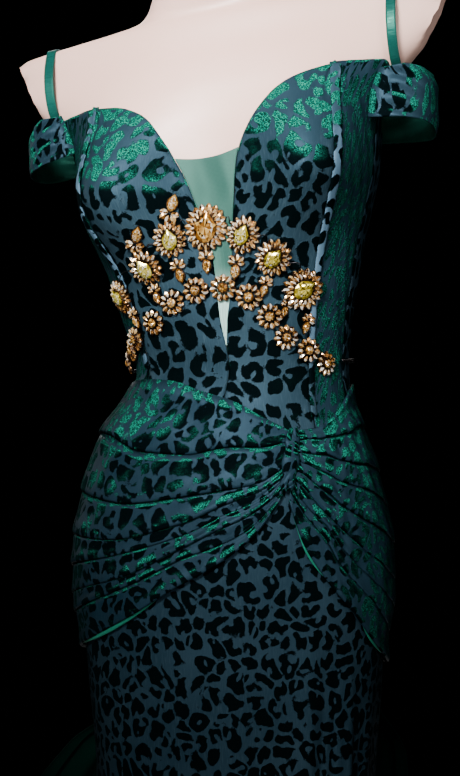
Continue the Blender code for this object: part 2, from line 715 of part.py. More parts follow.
def seat(cloth_made, angle, z, half_size, turn):
    """The frame of a flat piece that rests on the made cloth: its middle and its three sides."""
    step = 0.004
    across = surface(angle + step, z) - surface(angle - step, z)
    up = surface(angle, z + step) - surface(angle, z - step)
    normal = np.cross(across, up)
    normal /= np.linalg.norm(normal)
    up -= normal * (up @ normal)
    up /= np.linalg.norm(up)
    side = np.cross(up, normal)
    side, up = side * math.cos(turn) + up * math.sin(turn), up * math.cos(turn) - side * math.sin(turn)
    middle = surface(angle, z, BODICE_OUT + CLOTH)
    points, tree = cloth_made
    from_middle = points - middle
    level = from_middle @ normal
    inside = np.hypot(from_middle @ side / half_size[0], from_middle @ up / half_size[1]) < 1.05
    highest = max([0.0, *level[inside & (np.abs(level) < 0.02)]])
    for around in np.linspace(0, 2 * np.pi, 48, endpoint=False):
        for reach in (0.35, 0.7, 1.03):
            x = half_size[0] * reach * math.cos(around)
            y = half_size[1] * reach * math.sin(around)
            start = Vector(middle + side * x + up * y + normal * 0.02)
            hit = tree.ray_cast(start, Vector(-normal), 0.04)[0]
            if hit is not None:
                highest = max(highest, float((np.array(hit) - middle) @ normal))
    return middle + normal * (highest + SEAT_GAP), side, up, normal


def place_flat(obj, cloth_made, degrees, z, half_size, turn_degrees):
    turn = math.radians(turn_degrees)
    middle, side, up, normal = seat(cloth_made, math.radians(degrees), z, half_size, turn)
    frame = Matrix((Vector(side), Vector(up), Vector(normal))).transposed().to_4x4()
    obj.matrix_world = Matrix.Translation(Vector(middle)) @ frame


def rings_solid(name, rings, material):
    """A closed piece lofted through rings of points with flat ends, from the back to the front."""
    loft = bmesh.new()
    made = [[loft.verts.new(point) for point in ring] for ring in rings]
    count = len(made[0])
    for low, high in zip(made, made[1:]):
        for i in range(count):
            j = (i + 1) % count
            loft.faces.new((low[i], low[j], high[j], high[i]))
    loft.faces.new(made[0][::-1])
    loft.faces.new(made[-1])
    mesh = bpy.data.meshes.new(name)
    loft.to_mesh(mesh)
    loft.free()
    return add_object(name, mesh, material)


def rosette(cloth_made, name, degrees, z, radius, petals, turn_degrees):
    """A flower of small stones round one pear-shaped stone."""
    turns = np.linspace(0, 2 * np.pi, petals, endpoint=False)
    pear = 1 + 0.35 * np.clip(np.sin(turns), 0, 1) ** 3
    petal = np.where(np.arange(petals) % 2 == 0, 1.0, 0.88)
    rings = []
    for reach, height, shape in (
        (0.92, 0.0, petal),
        (1.00, 0.0016, petal),
        (0.50, 0.0036, 0.85 + 0.15 * pear),
        (0.20, 0.0066, pear),
    ):
        across_ring = radius * reach * shape * np.cos(turns)
        up_ring = radius * reach * shape * np.sin(turns)
        rings.append(np.stack([across_ring, up_ring, 0 * turns + height], axis=-1))
    obj = rings_solid(name, rings, STONES)
    place_flat(obj, cloth_made, degrees, z, (radius, radius), turn_degrees)


def drop(cloth_made, name, degrees, z, length, turn_degrees):
    """Small stones over a pear-shaped one that points down."""
    turns = np.linspace(0, 2 * np.pi, 6, endpoint=False)
    taper = 1 - 0.45 * np.clip(-np.sin(turns), 0, 1) ** 2
    rings = []
    for reach, height in ((0.9, 0.0), (1.0, 0.0018), (0.55, 0.0042)):
        x = 0.30 * length * reach * taper * np.cos(turns)
        y = 0.5 * length * reach * np.sin(turns)
        rings.append(np.stack([x, y, 0 * turns + height], axis=-1))
    obj = rings_solid(name, rings, STONES)
    place_flat(obj, cloth_made, degrees, z, (0.30 * length, 0.5 * length), turn_degrees)


def belt_chain():
    """The thin chain that closes the belt round the back of the waist."""
    first = math.radians(LOWER_ROSETTES[-1][0]) + CHAIN_START
    last = 2 * math.pi + math.radians(LOWER_ROSETTES[0][0]) - CHAIN_START
    angles = np.linspace(first, last, CHAIN_POINTS)
    out = BODICE_OUT + CLOTH + CHAIN_RADIUS + CHAIN_CLEAR
    points = surface(angles, np.full(CHAIN_POINTS, CHAIN_HEIGHT), out)
    curve = bpy.data.curves.new("belt_chain", "CURVE")
    curve.dimensions = "3D"
    curve.bevel_depth = CHAIN_RADIUS
    curve.bevel_resolution = 0
    curve.use_fill_caps = True
    line = curve.splines.new("POLY")
    line.points.add(len(points) - 1)
    for spot, point in zip(line.points, points):
        spot.co = (*point, 1)
    obj = bpy.data.objects.new("belt_chain", curve)
    bpy.data.collections[COLLECTION].objects.link(obj)
    paint(obj, BLACK_METAL)


def belt():
    bpy.context.view_layer.update()
    cloth_made = cloth_under_belt()
    for i, row in enumerate(UPPER_ROSETTES):
        rosette(cloth_made, f"belt_rosette_upper_{i + 1}", *row)
    for i, row in enumerate(LOWER_ROSETTES):
        rosette(cloth_made, f"belt_rosette_lower_{i + 1}", *row)
    for i, row in enumerate(DROPS):
        drop(cloth_made, f"belt_drop_{i + 1}", *row)
    belt_chain()


COLLECTION = "draped_gown_on_form"


def main():
    for obj in list(bpy.data.objects):
        bpy.data.objects.remove(obj)
    bpy.context.scene.collection.children.link(bpy.data.collections.new(COLLECTION))
    form = form_torso()
    stand()
    bpy.context.view_layer.update()
    for side, word in ((1, "left"), (-1, "right")):
        front_panel(side, f"bodice_front_{word}")
        side_panel(side, f"bodice_side_{word}")
        back_panel(side, f"bodice_back_{word}")
        casing(side, f"bodice_casing_{word}", CASING_FOOT[word])
        sleeve(side, f"sleeve_{word}", word)
        strap(side, f"strap_{word}", word, form)
    mesh_insert()
    drape(-1, "drape_right", RIGHT_DRAPE, RIGHT_FOLDS, 26)
    drape(1, "drape_left", LEFT_DRAPE, LEFT_FOLDS, 19)
    knot()
    quarter = math.pi / 2
    skirt_panel("skirt_front", -quarter + SKIRT_GAP, quarter - SKIRT_GAP, 26)
    skirt_panel("skirt_back", quarter + SKIRT_GAP, 3 * quarter - SKIRT_GAP, 18)
    for i in range(TRAIN_GORES):
        train_gore(f"train_{i + 1}", i / TRAIN_GORES, (i + 1) / TRAIN_GORES)
    belt()


main()
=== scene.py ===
# Satin sheath dress with a draped hip, worn on a dress form.
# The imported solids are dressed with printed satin, mesh, ribbon, cut stones and a train.
import math
import random

import bpy
import numpy as np
from mathutils import Matrix, Vector


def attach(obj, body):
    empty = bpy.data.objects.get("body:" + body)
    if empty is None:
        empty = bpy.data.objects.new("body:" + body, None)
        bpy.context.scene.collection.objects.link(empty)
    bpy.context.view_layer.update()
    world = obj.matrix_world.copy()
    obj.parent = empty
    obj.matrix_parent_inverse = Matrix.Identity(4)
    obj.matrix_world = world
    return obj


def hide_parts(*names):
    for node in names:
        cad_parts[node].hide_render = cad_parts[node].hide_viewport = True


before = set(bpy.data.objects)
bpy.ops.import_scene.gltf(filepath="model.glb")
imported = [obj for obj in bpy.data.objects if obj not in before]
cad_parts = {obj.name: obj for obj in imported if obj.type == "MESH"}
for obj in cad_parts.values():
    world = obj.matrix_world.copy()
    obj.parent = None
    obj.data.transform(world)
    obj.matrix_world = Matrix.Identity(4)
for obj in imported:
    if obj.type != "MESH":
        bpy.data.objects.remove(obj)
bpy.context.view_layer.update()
print("frame loaded:", len(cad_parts), "solids")

# the figure that the cloth follows: one row a level, metres from the body's axis
figureColumns = ("height", "halfWidth", "front", "back", "wing", "shift")
figureRows = (
    (0.000, 0.200, 0.180, 0.180, 0.00, 0.000),
    (0.120, 0.170, 0.150, 0.150, 0.00, 0.000),
    (0.300, 0.144, 0.124, 0.122, 0.00, 0.001),
    (0.460, 0.133, 0.111, 0.109, 0.00, 0.002),
    (0.560, 0.133, 0.107, 0.105, 0.00, 0.002),
    (0.664, 0.136, 0.104, 0.105, 0.00, 0.002),
    (0.740, 0.143, 0.104, 0.110, 0.00, 0.001),
    (0.800, 0.148, 0.104, 0.116, 0.00, 0.000),
    (0.850, 0.157, 0.104, 0.120, 0.00, -0.001),
    (0.900, 0.156, 0.102, 0.121, 0.00, -0.002),
    (0.950, 0.146, 0.098, 0.114, 0.00, -0.002),
    (1.000, 0.131, 0.091, 0.098, 0.00, -0.002),
    (1.040, 0.112, 0.083, 0.080, 0.00, 0.004),
    (1.070, 0.104, 0.080, 0.072, 0.00, 0.009),
    (1.100, 0.108, 0.082, 0.074, 0.00, 0.007),
    (1.140, 0.117, 0.085, 0.082, 0.00, 0.004),
    (1.180, 0.1265, 0.085, 0.090, 0.00, 0.002),
    (1.210, 0.136, 0.083, 0.094, 0.00, 0.000),
    (1.250, 0.147, 0.082, 0.097, 0.00, -0.003),
    (1.280, 0.150, 0.083, 0.099, 0.01, -0.005),
    (1.310, 0.149, 0.084, 0.098, 0.06, -0.005),
    (1.340, 0.147, 0.081, 0.096, 0.24, -0.005),
    (1.365, 0.144, 0.074, 0.091, 0.44, -0.005),
    (1.390, 0.138, 0.063, 0.082, 0.62, -0.004),
    (1.415, 0.130, 0.055, 0.073, 0.74, -0.004),
    (1.421, 0.124, 0.052, 0.068, 0.74, -0.006),
    (1.424, 0.114, 0.050, 0.065, 0.66, -0.009),
    (1.426, 0.102, 0.050, 0.062, 0.46, -0.011),
    (1.428, 0.091, 0.050, 0.060, 0.22, -0.013),
    (1.432, 0.081, 0.051, 0.058, 0.06, -0.014),
    (1.442, 0.073, 0.053, 0.056, 0.00, -0.015),
    (1.465, 0.065, 0.054, 0.054, 0.00, -0.016),
    (1.510, 0.058, 0.053, 0.052, 0.00, -0.016),
    (1.560, 0.055, 0.052, 0.051, 0.00, -0.017),
)
figure = {
    "roundness": 2.25,  # 2 would be an ellipse
    "wingPower": 6,
    "bustAngle": math.radians(38),
    "bustHeight": 1.246,
    "bustDepth": 0.043,
    "bustSideways": 0.3,  # share of the depth
    "bustSpread": 0.42,
    "bustAbove": 0.075,
    "bustBelow": 0.055,
    "lean": math.tan(math.radians(8.5)),  # the left shoulder is higher
    "leanRises": (0.98, 1.24),
    "leanEnds": (1.43, 1.54),
    "capFrom": 1.275,  # the shoulders' caps are cut off above this height
    "capReach": 0.227,
    "capHeight": 1.421,
    "capSlope": math.tan(math.radians(25.5)),
}


def smoothTable(x, xs, ys):
    # a monotone curve through the rows of a table
    xs, ys = np.asarray(xs, float), np.asarray(ys, float)
    step = np.diff(xs)
    slope = np.diff(ys) / step
    tangent = np.zeros_like(ys)
    rising = slope[:-1] * slope[1:] > 0
    tangent[1:-1][rising] = 2 / (1 / slope[:-1][rising] + 1 / slope[1:][rising])
    x = np.clip(x, xs[0], xs[-1])
    i = np.clip(np.searchsorted(xs, x) - 1, 0, len(step) - 1)
    t = (x - xs[i]) / step[i]
    start = (1 + 2 * t) * (1 - t) ** 2 * ys[i] + t * (1 - t) ** 2 * step[i] * tangent[i]
    end = t * t * (3 - 2 * t) * ys[i + 1] - t * t * (1 - t) * step[i] * tangent[i + 1]
    return start + end


def ramp(x, low, high):
    t = np.clip((np.asarray(x, float) - low) / (high - low), 0, 1)
    return t * t * (3 - 2 * t)


def mix(a, b, share):
    return a + (b - a) * share


def tableColumn(rows, columns, name):
    return [row[columns.index(name)] for row in rows]


def level(name, z):
    heights = tableColumn(figureRows, figureColumns, "height")
    return smoothTable(z, heights, tableColumn(figureRows, figureColumns, name))


def uprightPoint(angle, z):
    # angle is 0 at the front and grows towards +X
    sine, cosine = np.sin(angle), np.cos(angle)
    power = figure["roundness"]
    reach = (np.abs(sine) ** power + np.abs(cosine) ** power) ** (-1 / power)
    depth = np.where(cosine > 0, level("front", z), level("back", z))
    wing = 1 + level("wing", z) * np.abs(sine) ** figure["wingPower"]
    x = level("halfWidth", z) * reach * sine * wing
    y = -depth * reach * cosine
    fall = np.where(z > figure["bustHeight"], figure["bustAbove"], figure["bustBelow"])
    for side in (-1, 1):
        turn = np.remainder(angle - side * figure["bustAngle"] + np.pi, 2 * np.pi) - np.pi
        away = (turn / figure["bustSpread"]) ** 2 + ((z - figure["bustHeight"]) / fall) ** 2
        swell = figure["bustDepth"] * np.exp(-away)
        x = x + side * figure["bustSideways"] * swell
        y = y - swell
    capReach = figure["capReach"] - np.abs(figure["capHeight"] - z) * figure["capSlope"]
    x = np.where(z > figure["capFrom"], np.clip(x, -capReach, capReach), x)
    return np.stack([x + level("shift", z), y, z + 0 * x], axis=-1)


def leanOver(points):
    leaned = np.array(points, float)
    z = leaned[..., 2]
    share = ramp(z, *figure["leanRises"]) * (1 - ramp(z, *figure["leanEnds"]))
    leaned[..., 2] = z + leaned[..., 0] * figure["lean"] * share
    return leaned


def onFigure(angle, z, out=0.0):
    # a point that lies out from the figure, square to it
    angle, z = np.broadcast_arrays(np.asarray(angle, float), np.asarray(z, float))
    step = 1e-4
    across = uprightPoint(angle + step, z) - uprightPoint(angle - step, z)
    up = uprightPoint(angle, z + step) - uprightPoint(angle, z - step)
    normal = np.cross(across, up)
    normal /= np.maximum(np.linalg.norm(normal, axis=-1, keepdims=True), 1e-12)
    return leanOver(uprightPoint(angle, z) + normal * np.asarray(out, float)[..., None])


def angleAcross(across, z):
    # the front angle that lies that far across, by halving between the two sides
    halvings, side = 30, 1.6
    low, high = -side + 0 * across, side + 0 * across
    for _ in range(halvings):
        middle = (low + high) / 2
        under = uprightPoint(middle, z)[..., 0] < across
        low, high = np.where(under, middle, low), np.where(under, high, middle)
    return (low + high) / 2


def ripple(x, y, seed, pitch, count=5):
    # soft uneven waves, pitch in waves a metre
    draw = random.Random(seed)
    total = 0
    for _ in range(count):
        heading = draw.uniform(0, 2 * math.pi)
        waves = 2 * math.pi * pitch * draw.uniform(0.6, 1.5)
        start = draw.uniform(0, 2 * math.pi)
        total = total + np.sin(waves * (x * math.cos(heading) + y * math.sin(heading)) + start)
    return total / math.sqrt(count)


# shader helpers


def addNode(tree, kind, **settings):
    made = tree.nodes.new(kind)
    for name, value in settings.items():
        setattr(made, name, value)
    return made


def plug(tree, value, socket):
    if isinstance(value, bpy.types.NodeSocket):
        tree.links.new(value, socket)
    else:
        socket.default_value = value


def calc(tree, operation, *values, clamp=False):
    made = addNode(tree, "ShaderNodeMath", operation=operation, use_clamp=clamp)
    for value, socket in zip(values, made.inputs):
        plug(tree, value, socket)
    return made.outputs[0]


def vectorCalc(tree, operation, *values):
    made = addNode(tree, "ShaderNodeVectorMath", operation=operation)
    for value, socket in zip(values, made.inputs):
        plug(tree, value, socket)
    return made


def fade(tree, value, low, high, start=0.0, end=1.0):
    made = addNode(tree, "ShaderNodeMapRange", interpolation_type="SMOOTHSTEP")
    names = ("Value", "From Min", "From Max", "To Min", "To Max")
    for given, name in zip((value, low, high, start, end), names):
        plug(tree, given, made.inputs[name])
    return made.outputs["Result"]


def mixColour(tree, factor, first, second):
    made = addNode(tree, "ShaderNodeMix", data_type="RGBA")
    plug(tree, factor, made.inputs[0])
    plug(tree, first, made.inputs[6])
    plug(tree, second, made.inputs[7])
    return made.outputs[2]


def noise(tree, vector, scale, detail=2.0):
    made = addNode(tree, "ShaderNodeTexNoise")
    plug(tree, vector, made.inputs["Vector"])
    made.inputs["Scale"].default_value = scale
    made.inputs["Detail"].default_value = detail
    return made


def stretch(tree, vector, x, y, z=1.0):
    return vectorCalc(tree, "MULTIPLY", vector, (x, y, z)).outputs[0]


def bump(tree, shader, height, distance, strength=1.0):
    made = addNode(tree, "ShaderNodeBump")
    made.inputs["Strength"].default_value = strength
    made.inputs["Distance"].default_value = distance
    plug(tree, height, made.inputs["Height"])
    plug(tree, made.outputs[0], shader.inputs["Normal"])


def startMaterial(name, roughness=0.5, metallic=0.0, **sockets):
    material = bpy.data.materials.new(name)
    material.use_nodes = True
    tree = material.node_tree
    shader = tree.nodes["Principled BSDF"]
    shader.inputs["Roughness"].default_value = roughness
    shader.inputs["Metallic"].default_value = metallic
    for socket, value in sockets.items():
        shader.inputs[socket.replace("_", " ")].default_value = value
    return material, tree, shader


def clothPlace(tree):
    return addNode(tree, "ShaderNodeUVMap", uv_map="clothMetres").outputs[0]


def objectPlace(tree):
    return addNode(tree, "ShaderNodeTexCoord").outputs["Object"]


def clothNormal(tree):
    return addNode(tree, "ShaderNodeNewGeometry").outputs["Normal"]


def axisOf(tree, vector, axis):
    made = addNode(tree, "ShaderNodeSeparateXYZ")
    plug(tree, vector, made.inputs[0])
    return made.outputs[axis]


def drawOf(tree, colour, channel):
    # one channel of a cell's random colour
    made = addNode(tree, "ShaderNodeSeparateColor")
    plug(tree, colour, made.inputs[0])
    return made.outputs[channel]


# spotted satin: blue satin with raised near-black glitter spots, with a painted emerald glint where the cloth
# tips up
satinLook = {
    "ground": (0.0175, 0.0370, 0.0510, 1),
    # the satin's deeper clouds, also mixed in as painted shade where the cloth tips up
    "groundDeepAndShade": (0.0085, 0.0215, 0.0310, 1),
    "groundPale": (0.0420, 0.0700, 0.0860, 1),
    "groundLit": (0.0720, 0.1320, 0.1900, 1),
    # painted shade over the whole ground, mixed in by deep
    "groundPaintedShade": (0.0030, 0.0120, 0.0200, 1),
    # painted shade where the cloth turns aside from the brightest way
    "paintedSideShade": (0.0004, 0.0030, 0.0034, 1),
    # the spots' own near-black, then the deep green and the emerald of their painted glint
    "spotDark": (0.0003, 0.0016, 0.0018, 1),
    "spotDeepGlint": (0.0008, 0.018, 0.013, 1),
    "spotPaintedGlint": (0.012, 0.190, 0.130, 1),
    "slim": (1.05, 0.93),  # how many cells lie in a cell's size, across and up
    "loose": 0.82,  # how unevenly the cells lie
    "gap": 0.077,  # half the ground between two spots, in cells
    "gapChange": 0.10,
    "waves": 7,  # directions of the bands that notch a spot
    "waveLength": 0.66,  # in cells
    "waveLevel": -1.15,
    "waveDepth": 0.18,
    "round": 0.74,  # how far a spot reaches from its middle, in cells
    "holesFrom": 0.38,  # a cell's draw above which a hole can open at its middle
    "holeSize": (-0.05, 0.20),
    "limit": 0.12,
    "soften": (5, 0.105),  # samples round a place and how far off they are, in cells
    "patchy": 0.55,  # how unevenly the spots get their painted green glint
    "glintLeftBelow": 0.08,  # what is left of the painted green glint below a height where it ends
    "paintedLightWay": (0.24, -0.97, 0),  # the way that the cloth faces where it is painted brightest
    "paintedLightOver": (1.05, 1.12),  # the heights between which the cloth gets a painted highlight
    "sheen": (0.40, 0.72, 1.0, 1),
    # how fine each pattern is, a metre; two numbers are across and up
    "clouds": 9,
    "streaks": (900, 90),
    "patches": 34,
    "dashes": 95,
    "fuzz": 700,
    "grain": 1500,
    "weave": (1300, 500),
    "creases": (330, 26),
    "relief": 0.0005,  # metres
}


def jitter(tree, place, scale, amount):
    shake = noise(tree, place, scale, 0.0).outputs["Color"]
    centred = vectorCalc(tree, "SUBTRACT", shake, (0.5, 0.5, 0.5)).outputs[0]
    return vectorCalc(tree, "MULTIPLY_ADD", centred, (amount, amount, 0.0), place).outputs[0]


def cells(tree, place, feature):
    made = addNode(tree, "ShaderNodeTexVoronoi", voronoi_dimensions="2D", feature=feature)
    made.inputs["Scale"].default_value = 1.0
    made.inputs["Randomness"].default_value = satinLook["loose"]
    plug(tree, place, made.inputs["Vector"])
    return made


def bandedField(tree, place):
    # waves of one length in several directions: their crests are blobs, hooks and rings of even width
    draw = random.Random(4)
    count = satinLook["waves"]
    pace = 2 * math.pi / satinLook["waveLength"]
    total = 0.0
    for i in range(count):
        heading = math.pi * (i + 0.6 * draw.random()) / count
        direction = (pace * math.cos(heading), pace * math.sin(heading), 0.0)
        swing = vectorCalc(tree, "DOT_PRODUCT", place, direction).outputs["Value"]
        wave = calc(tree, "SINE", calc(tree, "ADD", swing, draw.uniform(0, 2 * math.pi)))
        total = calc(tree, "ADD", wave, total)
    return calc(tree, "DIVIDE", total, math.sqrt(count / 2))


def spotField(tree, banded, shaken, gap):
    # above 0 on a spot: its cell cut smaller, notched by the bands and sometimes holed
    bands = calc(tree, "SUBTRACT", bandedField(tree, banded), satinLook["waveLevel"])
    bands = calc(tree, "MULTIPLY", bands, satinLook["waveDepth"])
    nearest = cells(tree, shaken, "F1")
    away = nearest.outputs["Distance"]
    between = calc(tree, "SUBTRACT", cells(tree, shaken, "F2").outputs["Distance"], away)
    edge = calc(tree, "MULTIPLY_ADD", between, 0.5, calc(tree, "MULTIPLY", gap, -1))
    reach = calc(tree, "SUBTRACT", satinLook["round"], away)
    body = calc(tree, "SMOOTH_MIN", calc(tree, "SMOOTH_MIN", edge, reach, 0.3), bands, 0.16)
    draw = drawOf(tree, nearest.outputs["Color"], 0)
    holeSize = fade(tree, draw, satinLook["holesFrom"], 1.0, *satinLook["holeSize"])
    outsideHole = calc(tree, "SUBTRACT", away, holeSize)
    field = calc(tree, "SMOOTH_MIN", body, outsideHole, 0.05)
    return calc(tree, "MAXIMUM", calc(tree, "MINIMUM", field, satinLook["limit"]), -satinLook["limit"])


def spotHeight(tree, place, cell, long, tilt):
    # the mean of the field round a place, which rounds the spots' corners
    turned = addNode(tree, "ShaderNodeVectorRotate", rotation_type="Z_AXIS")
    plug(tree, place, turned.inputs["Vector"])
    turned.inputs["Angle"].default_value = tilt
    across, up = [slim * part / cell for slim, part in zip(satinLook["slim"], long)]
    scaled = stretch(tree, turned.outputs[0], across, up)
    banded = jitter(tree, scaled, 0.9, 0.65)
    shaken = jitter(tree, jitter(tree, scaled, 0.6, 1.1), 1.8, 0.36)
    lumps = noise(tree, scaled, 3.0, 1.0).outputs["Fac"]
    change = satinLook["gapChange"]
    gap = calc(tree, "MULTIPLY_ADD", lumps, change, satinLook["gap"] - change / 2)
    count, away = satinLook["soften"]
    total = 0.0
    for i in range(count):
        turn = 2 * math.pi * (i + 0.3) / count
        step = (away * math.cos(turn), away * math.sin(turn), 0.0)
        places = [vectorCalc(tree, "ADD", field, step).outputs[0] for field in (banded, shaken)]
        total = calc(tree, "ADD", spotField(tree, *places, gap), total)
    return calc(tree, "DIVIDE", total, count)


def satinGround(tree, place, height, deep, pale):
    # cloudy blue with fine pale streaks; deep mixes painted shade over the whole ground, and pale adds a
    # painted highlight over the waist
    cloudy = noise(tree, place, satinLook["clouds"], 2.0).outputs["Fac"]
    streaks = noise(tree, stretch(tree, place, *satinLook["streaks"]), 1.0, 1.0).outputs["Fac"]
    ground = mixColour(tree, fade(tree, cloudy, 0.32, 0.68), satinLook["groundDeepAndShade"], satinLook["ground"])
    ground = mixColour(tree, fade(tree, streaks, 0.45, 0.85, 0.0, 0.45), ground, satinLook["groundPale"])
    if deep:
        ground = mixColour(tree, deep, ground, satinLook["groundPaintedShade"])
    # painted highlight: the ground turns paler over the waist
    if pale:
        paler = fade(tree, height, *satinLook["paintedLightOver"], 0.0, pale)
        ground = mixColour(tree, paler, ground, satinLook["groundLit"])
    return ground


def paintedTipGlint(tree, place, height, tips, paintedGlintAbove, paintedSideGlint, sideFrom):
    # painted glint: the glitter is painted green where the cloth tips up, and, by the side share, where it
    # turns to the side
    drift = noise(tree, place, satinLook["patches"], 2.0).outputs["Fac"]
    up = axisOf(tree, clothNormal(tree), 2)
    tip = calc(tree, "MULTIPLY_ADD", calc(tree, "SUBTRACT", drift, 0.5), satinLook["patchy"], up)
    paintedGlint = fade(tree, tip, *tips)
    if paintedGlintAbove:
        paintedGlint = calc(tree, "MULTIPLY", paintedGlint, fade(tree, height, *paintedGlintAbove, satinLook["glintLeftBelow"], 1.0))
    if paintedSideGlint:
        aside = calc(tree, "ABSOLUTE", axisOf(tree, clothNormal(tree), 0))
        paintedGlint = calc(tree, "MAXIMUM", paintedGlint, fade(tree, aside, *sideFrom, 0.0, paintedSideGlint))
    return paintedGlint


def paintedFoldGlint(tree, place):
    # painted glint: green dashes along a folded edge
    crest = addNode(tree, "ShaderNodeAttribute", attribute_name="paintedGlintEdge").outputs["Fac"]
    dashes = noise(tree, place, satinLook["dashes"], 2.0).outputs["Fac"]
    return calc(tree, "MULTIPLY", crest, fade(tree, dashes, 0.54, 0.68, 0.0, 0.7), clamp=True)


def glitterGrains(tree, place):
    # two random draws for each grain of glitter
    grains = addNode(tree, "ShaderNodeTexVoronoi", voronoi_dimensions="2D", feature="F1")
    grains.inputs["Scale"].default_value = satinLook["grain"]
    plug(tree, place, grains.inputs["Vector"])
    return [drawOf(tree, grains.outputs["Color"], channel) for channel in (0, 1)]


def glitterWithGlint(tree, paintedGlint, draw):
    # the spots' own dark, through a painted deep-green glint to a painted emerald one, as the glint grows
    bright = fade(tree, draw, 0.30, 0.95)
    lit = calc(tree, "MULTIPLY", paintedGlint, calc(tree, "MULTIPLY_ADD", bright, 0.80, 0.30), clamp=True)
    colour = mixColour(tree, fade(tree, lit, 0.0, 0.30), satinLook["spotDark"], satinLook["spotDeepGlint"])
    return mixColour(tree, fade(tree, lit, 0.25, 0.95), colour, satinLook["spotPaintedGlint"])


def satinRelief(tree, place, spot, draw, crush):
    weave = noise(tree, stretch(tree, place, *satinLook["weave"]), 1.0, 1.0).outputs["Fac"]
    relief = calc(tree, "MULTIPLY_ADD", weave, 0.16, calc(tree, "MULTIPLY", spot, 0.55))
    relief = calc(tree, "MULTIPLY_ADD", calc(tree, "MULTIPLY", draw, spot), 0.5, relief)
    if crush:
        creases = noise(tree, stretch(tree, place, *satinLook["creases"]), 1.0, 2.0).outputs["Fac"]
        relief = calc(tree, "MULTIPLY_ADD", creases, crush, relief)
    return relief


def spottedSatin(name, cell, tips, shade, deep=0.0, pale=0.0, paintedSideGlint=0.0, sideFrom=(0.45, 0.85),
                 paintedGlintAbove=None, long=(1.0, 1.0), tilt=0.0, crush=0.0):
    # cell: a spot's size; tips: how far the cloth tips up before its spots get their painted green glint;
    # shade: how dark the painted shade on its sides gets; deep: how much painted shade darkens its whole
    # ground;
    # pale: how much painted highlight it gets over the waist; long, tilt: the spots' stretch; crush: how deep
    # its creases are
    material, tree, shader = startMaterial(name, roughness=0.42)
    shader.inputs["Specular Tint"].default_value = satinLook["sheen"]
    place = clothPlace(tree)
    height = axisOf(tree, objectPlace(tree), 2)
    fuzz = noise(tree, place, satinLook["fuzz"], 1.0).outputs["Fac"]
    pile = spotHeight(tree, place, cell, long, tilt)
    pile = calc(tree, "MULTIPLY_ADD", calc(tree, "SUBTRACT", fuzz, 0.5), 0.05, pile)
    spot = fade(tree, pile, -0.012, 0.014)
    paintedGlint = paintedTipGlint(tree, place, height, tips, paintedGlintAbove, paintedSideGlint, sideFrom)
    ground = satinGround(tree, place, height, deep, pale)
    # painted shade: the ground darkens where the painted glint is, where the cloth tips up
    ground = mixColour(tree, calc(tree, "MULTIPLY", paintedGlint, 0.80), ground, satinLook["groundDeepAndShade"])
    paintedEdgeGlint = paintedFoldGlint(tree, place)
    brightDraw, riseDraw = glitterGrains(tree, place)
    glitter = glitterWithGlint(tree, calc(tree, "MAXIMUM", paintedGlint, paintedEdgeGlint), brightDraw)
    # the painted edge glint also spreads over the ground between the spots
    reach = calc(tree, "MAXIMUM", spot, calc(tree, "MULTIPLY", paintedEdgeGlint, 0.85))
    colour = mixColour(tree, reach, ground, glitter)
    # painted shade: the pile of the spots and the satin both darken where the cloth turns aside
    facing = vectorCalc(tree, "DOT_PRODUCT", clothNormal(tree), satinLook["paintedLightWay"])
    front = calc(tree, "ABSOLUTE", facing.outputs["Value"])
    colour = mixColour(tree, fade(tree, front, 0.05, 0.92, shade, 0.0), colour, satinLook["paintedSideShade"])
    plug(tree, colour, shader.inputs["Base Color"])
    plug(tree, fade(tree, spot, 0, 1, 0.46, 0.65), shader.inputs["Roughness"])
    plug(tree, fade(tree, spot, 0, 1, 0.16, 0.02), shader.inputs["Specular IOR Level"])
    bump(tree, shader, satinRelief(tree, place, spot, riseDraw, crush), satinLook["relief"])
    return material


# plain emerald satin: how fine its clouds and threads are, a metre, and its relief in metres
plainLook = {"sheen": (0.25, 1.0, 0.75, 1), "clouds": 14, "threads": (700, 700 / 9), "relief": 0.0003}


def plainSatin(name, light, dark, roughness, gloss=0.22):
    material, tree, shader = startMaterial(name, roughness=roughness)
    shader.inputs["Specular Tint"].default_value = plainLook["sheen"]
    shader.inputs["Specular IOR Level"].default_value = gloss
    place = clothPlace(tree)
    cloudy = noise(tree, place, plainLook["clouds"], 3.0).outputs["Fac"]
    threads = noise(tree, stretch(tree, place, *plainLook["threads"]), 1.0, 1.0).outputs["Fac"]
    colour = mixColour(tree, fade(tree, cloudy, 0.3, 0.7), dark, light)
    colour = mixColour(tree, fade(tree, threads, 0.4, 0.8, 0.0, 0.45), colour, dark)
    plug(tree, colour, shader.inputs["Base Color"])
    plug(tree, fade(tree, threads, 0.3, 0.7, roughness - 0.06, roughness + 0.1), shader.inputs["Roughness"])
    bump(tree, shader, threads, plainLook["relief"], 0.7)
    return material


meshLook = {
    "mint": (0.050, 0.140, 0.110, 1),
    "shade": (0.012, 0.060, 0.046, 1),
    "low": (0.36, 0.56, 0.50, 1),  # where it lies close to the form, low in the V
    "lowEnds": (1.13, 1.17),
    "thread": (0.12, 0.24, 0.20, 1),
    "threads": 260,
    "shades": (22, 9),
    "holes": 0.97,  # how dense the cloth is between its threads
    "relief": 0.0002,
}


